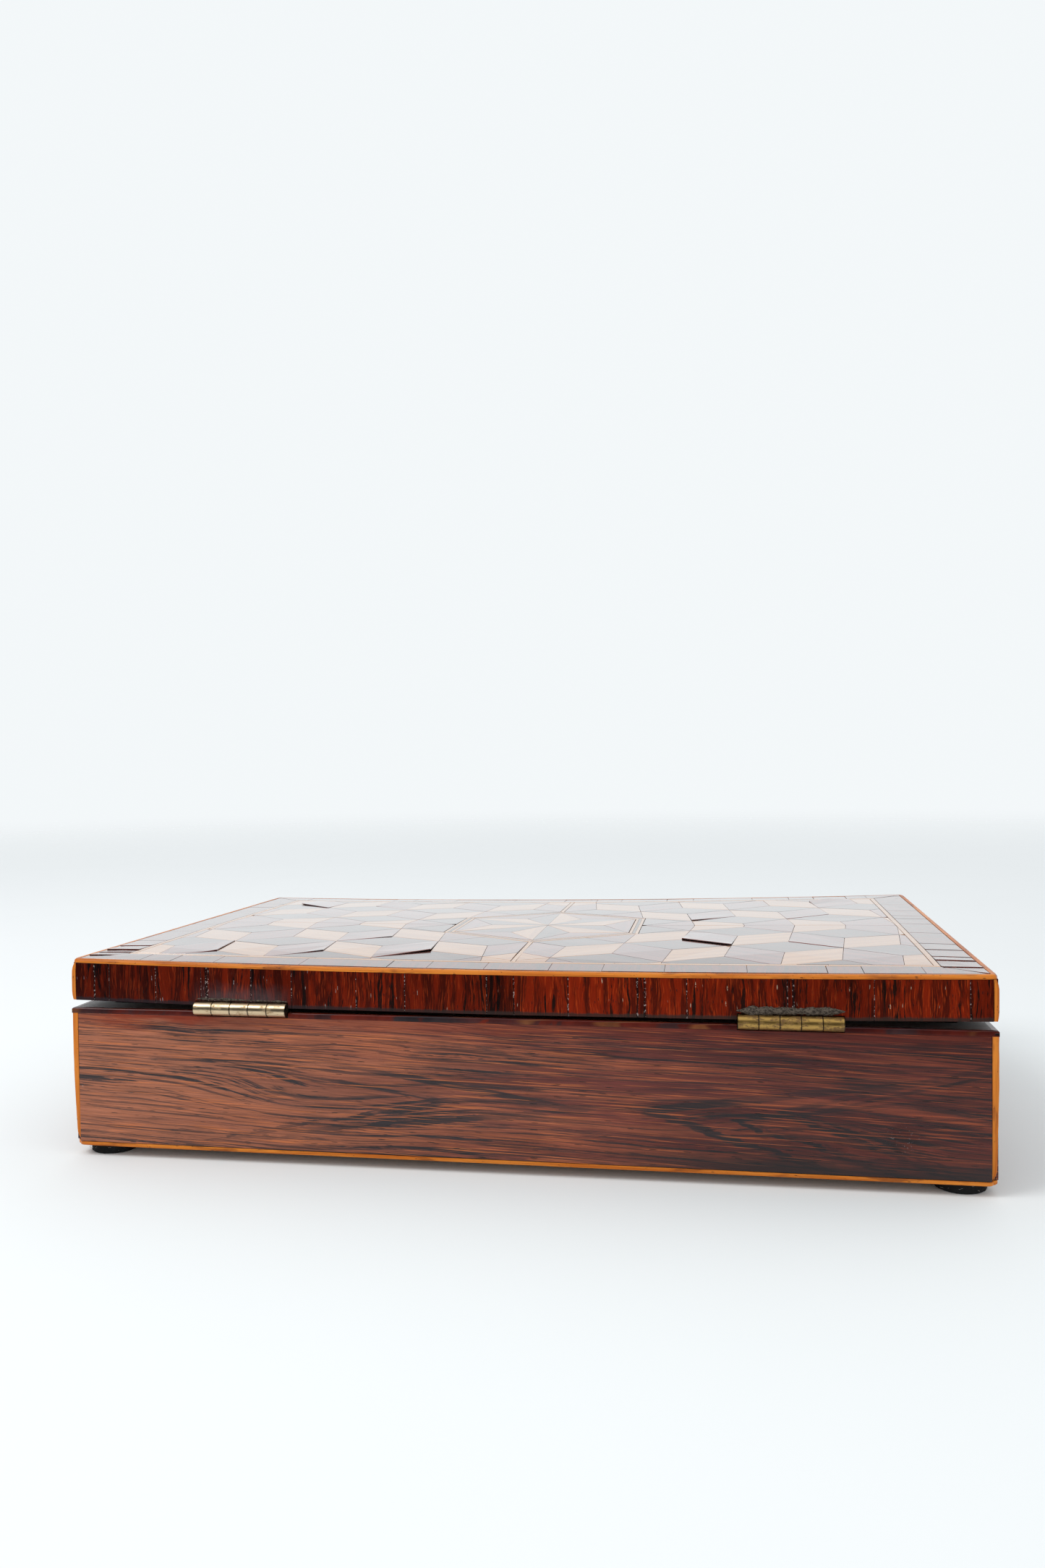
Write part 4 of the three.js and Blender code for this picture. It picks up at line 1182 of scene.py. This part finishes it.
def eased_copy(node, name, body, finish, ease=0.15 * MM, below=None, smooth=35):
    """A copy of a CAD solid with its edges eased, cut off at a height if below is given."""
    shape = bmesh.new()
    shape.from_mesh(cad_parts[node].data)
    bmesh.ops.remove_doubles(shape, verts=shape.verts, dist=0.002 * MM)
    if below is not None:
        everything = shape.verts[:] + shape.edges[:] + shape.faces[:]
        cut = bmesh.ops.bisect_plane(
            shape, geom=everything, plane_co=(0, 0, below), plane_no=(0, 0, 1), clear_outer=True
        )
        rim_edges = [e for e in cut["geom_cut"] if isinstance(e, bmesh.types.BMEdge)]
        bmesh.ops.holes_fill(shape, edges=rim_edges)
    bmesh.ops.dissolve_limit(shape, angle_limit=math.radians(0.5), verts=shape.verts, edges=shape.edges)
    mesh = bpy.data.meshes.new(name)
    shape.to_mesh(mesh)
    shape.free()
    mesh.materials.clear()
    mesh.materials.append(finish.material)
    mesh.shade_smooth()
    mesh.set_sharp_from_angle(angle=math.radians(smooth))
    piece = bpy.data.objects.new(name, mesh)
    if ease:
        bevel = piece.modifiers.new("eased edges", "BEVEL")
        bevel.width, bevel.segments = ease, 2
        bevel.limit_method, bevel.angle_limit = "ANGLE", math.radians(40)
        bevel.harden_normals = True
    return finished(piece, body, [node])


below_lip = RIM - LIP_HEIGHT - 0.06 * MM
long_and_cross = {
    "back": (case_back, lid_long_edges), "front": (case_front, lid_long_edges),
    "left": (case_ends, lid_end_edges), "right": (case_ends, lid_end_edges),
}
for side, (finish, _) in long_and_cross.items():
    face = f"case_{side}_face"
    eased_copy(f"base_{side}_veneer", face, "base", finish, 0.08 * MM, below_lip)
for side, (_, finish) in long_and_cross.items():
    face = f"lid_{side}_face"
    eased_copy(f"lid_{side}_edge_veneer", face, "lid", finish, 0.16 * MM)
print("faces eased on base and lid")

# %% [markdown]
# ## Hinges, screws and lock
# The metal pieces have their true shapes in the model already. They get the same eased copies, so
# that each edge shows a thin glint, and a finish: one hinge bright, the other tarnished.

# %% Metal pieces
for end, finish, slot in (("right", bright_brass, "bright_brass"), ("left", dull_brass, "tarnished_brass")):
    for part, body in (("base", "base"), ("lid", "lid")):
        eased_copy(f"{end}_hinge_{part}_leaf", f"{end}_{part}_leaf", body, finish, 0.12 * MM)
        for i in (1, 2):
            screw = f"{end}_hinge_{part}_screw_{i}"
            eased_copy(screw, f"{end}_{part}_screw_{i}", body, finish, 0.05 * MM)
    eased_copy(f"{end}_hinge_pin", f"{end}_pin", "base", finish, 0.1 * MM)
for node, body, finish, slot in (
    ("lock_case", "base", lock_brass, "lock_brass"),
    ("keyhole_escutcheon", "base", lock_brass, "lock_brass"),
    ("lock_link_plate", "lid", lock_brass, "lock_brass"),
    ("lock_bolt", "bolt", filed_steel, "bolt_steel"),
):
    eased_copy(node, node + "_filed", body, finish, 0.1 * MM)

plain = {
    "base_front_wall": rim_wood, "base_back_wall": rim_wood, "base_left_wall": side_rim_wood,
    "base_right_wall": side_rim_wood, "base_bottom_board": underside_wood, "lid_board": glue_bed,
    "lid_front_rail": rim_wood, "lid_back_rail": rim_wood, "lid_left_rail": side_rim_wood,
    "lid_right_rail": side_rim_wood,
}
for node, finish in plain.items():
    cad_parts[node].data.materials.clear()
    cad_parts[node].data.materials.append(finish.material)
print("metal pieces and", len(plain), "carcase boards finished")

# %% [markdown]
# ## Wax and dirt round the hinges
# Polish and dust build up above the knuckles, where a cloth can't reach. It is a ragged bead: a tube
# with a flat back whose thickness and height wander.

# %% Crust
LUMPS, CRUMBS, GRIT = 3.1 * MM, 0.9 * MM, 0.7 * MM  # lengths of the bead's unevenness
ABOVE_KNUCKLES = 1.4 * MM
CRUST_DEPTH = 1.0 * MM  # any deeper and it would meet the case when the lid is laid right back


def crust(name, end, thickness, raggedness):
    low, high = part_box(f"{end}_hinge_lid_leaf")
    knuckle_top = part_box(f"{end}_hinge_pin")[1].z + ABOVE_KNUCKLES
    face = MIDDLE.y + HALF_Y
    bead = Veneers(name)
    count, around = 90, 9
    points = []
    for i in range(count + 1):
        share = i / count
        x = low.x - 0.3 * MM + (high.x - low.x + 0.6 * MM) * share
        height = 0.75 + raggedness * noise.noise(Vector((x / LUMPS, 1.7, len(name))))
        height += raggedness * 0.6 * noise.noise(Vector((x / CRUMBS, 5.1, len(name))))
        taper = min(1, 8 * share + 0.15, 8 * (1 - share) + 0.15)
        size = thickness * max(0.25, height) * taper
        for k in range(around):
            turn = math.pi * k / (around - 1)
            rough = 1 + 0.22 * noise.noise(Vector((x / GRIT, k * 0.9, 3.3)))
            depth = min(CRUST_DEPTH, size * 1.05 * math.sin(turn) * rough)
            y = face - 0.05 * MM + depth
            z = knuckle_top + thickness * 0.55 - size * 1.25 * math.cos(turn) * rough + lid_lift(x, face)
            points.append(Vector((x, y, z)))
    bead.add(points, [p / MM for p in points], prism([range(around)] * (count + 1)))
    bead.build(name, "lid", [wax_crust], smooth=60)


crust("left_wax_crust", "left", 1.4 * MM, 0.3)
crust("right_wax_crust", "right", 0.30 * MM, 0.9)
print("wax over both hinges")

# %% [markdown]
# ## Velvet inside
# The lining is cloth glued over card. It has no hard edge anywhere, so each panel is a slab with
# a large rounding, a faint swell in the middle and a little unevenness from the glue below.

# %% Linings
CLOTH_STEP, SOFT_EDGE, UNEVEN = 5 * MM, 2.2 * MM, 24 * MM  # mesh step, rounding, length of a wave


def cloth_panel(name, body, low, high, face_axis, outwards, puff, node=None, lift=None):
    """A soft slab between two corners. Its face looks along outwards on face_axis."""
    others = [a for a in range(3) if a != face_axis]
    spans = [high[a] - low[a] for a in others]
    counts = [max(4, min(60, round(s / CLOTH_STEP))) for s in spans]
    back = low[face_axis] if outwards > 0 else high[face_axis]
    thick = high[face_axis] - low[face_axis]
    points, faces = [], []
    for layer in (0, 1):
        for i in range(counts[0] + 1):
            for j in range(counts[1] + 1):
                u, v = i / counts[0], j / counts[1]
                border = min(u * spans[0], (1 - u) * spans[0], v * spans[1], (1 - v) * spans[1])
                soft = 1 - max(0, 1 - border / SOFT_EDGE) ** 2
                place = [0.0, 0.0, 0.0]
                place[others[0]] = low[others[0]] + u * spans[0]
                place[others[1]] = low[others[1]] + v * spans[1]
                wave = noise.noise(Vector(place) / UNEVEN) * 0.5 + 0.5
                height = thick * (0.35 + 0.45 * soft) + puff * soft * wave if layer else 0
                place[face_axis] = back + outwards * height
                if lift:
                    place[2] += lift(place[0], place[1])
                points.append(Vector(place))
    columns, layer_size = counts[1] + 1, (counts[0] + 1) * (counts[1] + 1)
    for i in range(counts[0]):
        for j in range(counts[1]):
            quad = [i * columns + j, (i + 1) * columns + j, (i + 1) * columns + j + 1, i * columns + j + 1]
            faces += [[layer_size + q for q in quad], quad[::-1]]
    loop = [(i, 0) for i in range(counts[0])] + [(counts[0], j) for j in range(counts[1])]
    loop += [(i, counts[1]) for i in range(counts[0], 0, -1)] + [(0, j) for j in range(counts[1], 0, -1)]
    edge = [i * columns + j for i, j in loop]
    for a, b in zip(edge, edge[1:] + edge[:1]):
        faces.append([a, b, layer_size + b, layer_size + a])
    panel = Veneers(name)
    panel.add(points, [p / MM for p in points], faces)
    turn_outwards(panel.build(name, body, [velvet], [node] if node else (), smooth=60))


tray_low, tray_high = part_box("base_lining")
CLOTH, FLOOR_CLOTH = 0.8 * MM, 1.5 * MM
FLAT_PUFF, WALL_PUFF = 0.25 * MM, 0.1 * MM  # how far a panel swells in the middle
LID_WELL = 8 * MM
floor_high = Vector((tray_high.x - CLOTH, tray_high.y - CLOTH, tray_low.z + FLOOR_CLOTH))
floor_low = Vector((tray_low.x + CLOTH, tray_low.y + CLOTH, tray_low.z))
cloth_panel("velvet_floor", "base", floor_low, floor_high, Z, 1, FLAT_PUFF, "base_lining")
for name, axis, outwards in (("left", 0, 1), ("right", 0, -1), ("front", 1, 1), ("back", 1, -1)):
    low, high = tray_low.copy(), tray_high.copy()
    if outwards > 0:
        high[axis] = low[axis] + CLOTH
    else:
        low[axis] = high[axis] - CLOTH
    cloth_panel(f"velvet_{name}_wall", "base", low, high, axis, outwards, WALL_PUFF)
lid_low, lid_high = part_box("lid_lining")
pad_top = LID_BOTTOM + LID_WELL - GLUE
pad_low = Vector((lid_low.x, lid_low.y, pad_top - FLOOR_CLOTH))
pad_high = Vector((lid_high.x, lid_high.y, pad_top))
cloth_panel("velvet_lid_pad", "lid", pad_low, pad_high, Z, -1, FLAT_PUFF, "lid_lining", lid_lift)
print("velvet laid in base and lid")

# %% [markdown]
# ## Felt feet
# A felt pad is punched from sheet, so it is a disc with a frayed side. Its rings of points are
# pushed about by noise at the scale of the fibres, and a few loose fibres of lint cling to it.

# %% Feet


def felt_foot(node, name):
    low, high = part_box(node)
    centre, radius = (low + high) / 2, (high.x - low.x) / 2
    foot = Veneers(name)
    around, layers = 84, 9
    up = Vector((0, 0, 1))
    rows = [(radius * 0.55, low.z), (radius * 0.93, low.z)]
    rows += [(radius, low.z + (high.z - low.z) * (0.08 + 0.84 * i / layers)) for i in range(layers + 1)]
    rows += [(radius * 0.93, high.z), (radius * 0.5, high.z)]
    points = []
    for r, (wide, z) in enumerate(rows):
        for i in range(around):
            turn = 2 * math.pi * i / around
            direction = Vector((math.cos(turn), math.sin(turn), 0))
            fray = noise.noise(Vector((turn * 9, r * 0.8, centre.x * 50))) * 0.16
            fray += noise.noise(Vector((turn * 31, r * 1.7, centre.y * 50))) * 0.14
            inner = 0 if r in (0, 1, len(rows) - 1, len(rows) - 2) else 1
            here = Vector((centre.x, centre.y, z)) + direction * (wide + (fray - 0.2) * inner * MM)
            points.append(here)
    foot.add(points, [p / MM for p in points], prism([range(around)] * len(rows)))
    strands = 46
    for _ in range(strands):
        turn = foot.random.uniform(0, 2 * math.pi)
        start = Vector((centre.x + radius * math.cos(turn), centre.y + radius * math.sin(turn), 0))
        start.z = low.z + foot.random.uniform(0.25, 0.9) * (high.z - low.z)
        out = Vector((math.cos(turn), math.sin(turn), 0))
        aside = Vector((-out.y, out.x, 0)) * foot.random.uniform(-1, 1)
        path = [start + out * (0.1 * MM + 0.5 * MM * math.sin(s * 2.2)) + aside * (s * 1.3 * MM)
                + Vector((0, 0, foot.random.uniform(-0.25, 0.25) * MM)) for s in (0, 0.35, 0.7, 1)]
        thin = foot.random.uniform(0.02, 0.045) * MM
        rings = [[p + up * thin, p + out * thin, p - up * thin, p - out * thin] for p in path]
        flat = [p for ring_ in rings for p in ring_]
        pale = 1 if foot.random.random() < 0.3 else 0
        foot.add(flat, [p / MM for p in flat], prism(rings), pale)
    turn_outwards(foot.build(name, "base", [felt, lint], [node], smooth=50))


for corner in CORNERS:
    felt_foot(f"felt_foot_{corner}", f"felt_pad_{corner}")
print("four felt feet")

# %% [markdown]
# ## Floor and light
# The setting is a white table top. The floor fades into the backdrop with distance, so no
# horizon shows. The light is a white room, with one large soft lamp high on one side. Polished wood
# shows what it reflects: the part of the floor in front that lies past the light is dark, and a black
# card that only reflections see stands for it. It keeps the lid's edge deep in colour.

# %% Stage
TABLE = 4.0
FLAG_NEAR, FLAG_FAR, FLAG_WIDE, FLAG_HIGH = 0.29, 1.1, 1.3, 0.95
ABOVE_FLOOR = 0.001
ROOM_LIGHT = (0.90, 0.935, 0.95)
PAINTED_LIGHT_REACH, FADES = (120, 420), (900, 2600)  # mm from the middle of the floor


def stage_piece(name, corners, faces, finish):
    """A flat thing that belongs to the setting and not to the box."""
    mesh = bpy.data.meshes.new(name)
    mesh.from_pydata(corners, [], faces)
    mesh.materials.append(finish.material)
    thing = bpy.data.objects.new(name, mesh)
    bpy.context.scene.collection.objects.link(thing)
    return thing


paper = Finish("white_paper", {"Roughness": 0.8, "Specular IOR Level": 0.02})
mottle = paper.cloud(paper.place(), (60, 60, 60), 2, 0.5, 7)
far = paper.length(paper.place())
# Painted light: the paper is painted a little brighter near the box, where the box would shade it.
sheet = paper.tint(paper.rise(far, *PAINTED_LIGHT_REACH), (0.865, 0.885, 0.888), (0.835, 0.845, 0.85))
paper.feed("Base Color", paper.graded(sheet, mottle, grey(0.99), grey(1)))
fade = paper.rise(far, *FADES)
clear = paper.node("BsdfTransparent")
mixed = paper.node("MixShader", sockets={0: fade, 1: Value(paper, paper.shader.outputs[0]), 2: clear})
paper.tree.links.new(mixed.output, paper.tree.nodes["Material Output"].inputs["Surface"])
table_corners = [(-TABLE, -TABLE, 0), (TABLE, -TABLE, 0), (TABLE, TABLE, 0), (-TABLE, TABLE, 0)]
stage_piece("floor", table_corners, [(0, 1, 2, 3)], paper)

card = Finish("black_card", {"Roughness": 0.9, "Specular IOR Level": 0.1})
card.feed("Base Color", card.tint(card.cloud(card.place(), (40, 40, 40)), grey(0.02), grey(0.04)))
bent = ((FLAG_NEAR, ABOVE_FLOOR), (FLAG_FAR, ABOVE_FLOOR), (FLAG_FAR, FLAG_HIGH))
card_corners = [(side * FLAG_WIDE, y, z) for y, z in bent for side in (-1, 1)]
flag = stage_piece("flag", card_corners, [(0, 1, 3, 2), (2, 3, 5, 4)], card)
flag.visible_camera = False
flag.visible_diffuse = False
flag.visible_shadow = False

world = bpy.data.worlds.new("white_room")
world.use_nodes = True
world.node_tree.nodes["Background"].inputs["Color"].default_value = colour(*ROOM_LIGHT)
bpy.context.scene.world = world


def soft_lamp(name, place, aim, size, power):
    lamp = bpy.data.lights.new(name, "AREA")
    lamp.shape, lamp.size, lamp.energy = "DISK", size, power
    holder = bpy.data.objects.new(name, lamp)
    holder.location = place
    holder.rotation_euler = (Vector(aim) - Vector(place)).to_track_quat("-Z", "Y").to_euler()
    bpy.context.scene.collection.objects.link(holder)


soft_lamp("key", place=(0.8, 0.55, 1.05), aim=(0, 0, 0.03), size=0.7, power=6.4)
bpy.context.scene.view_settings.view_transform = "Standard"
print("one soft lamp and a white room")
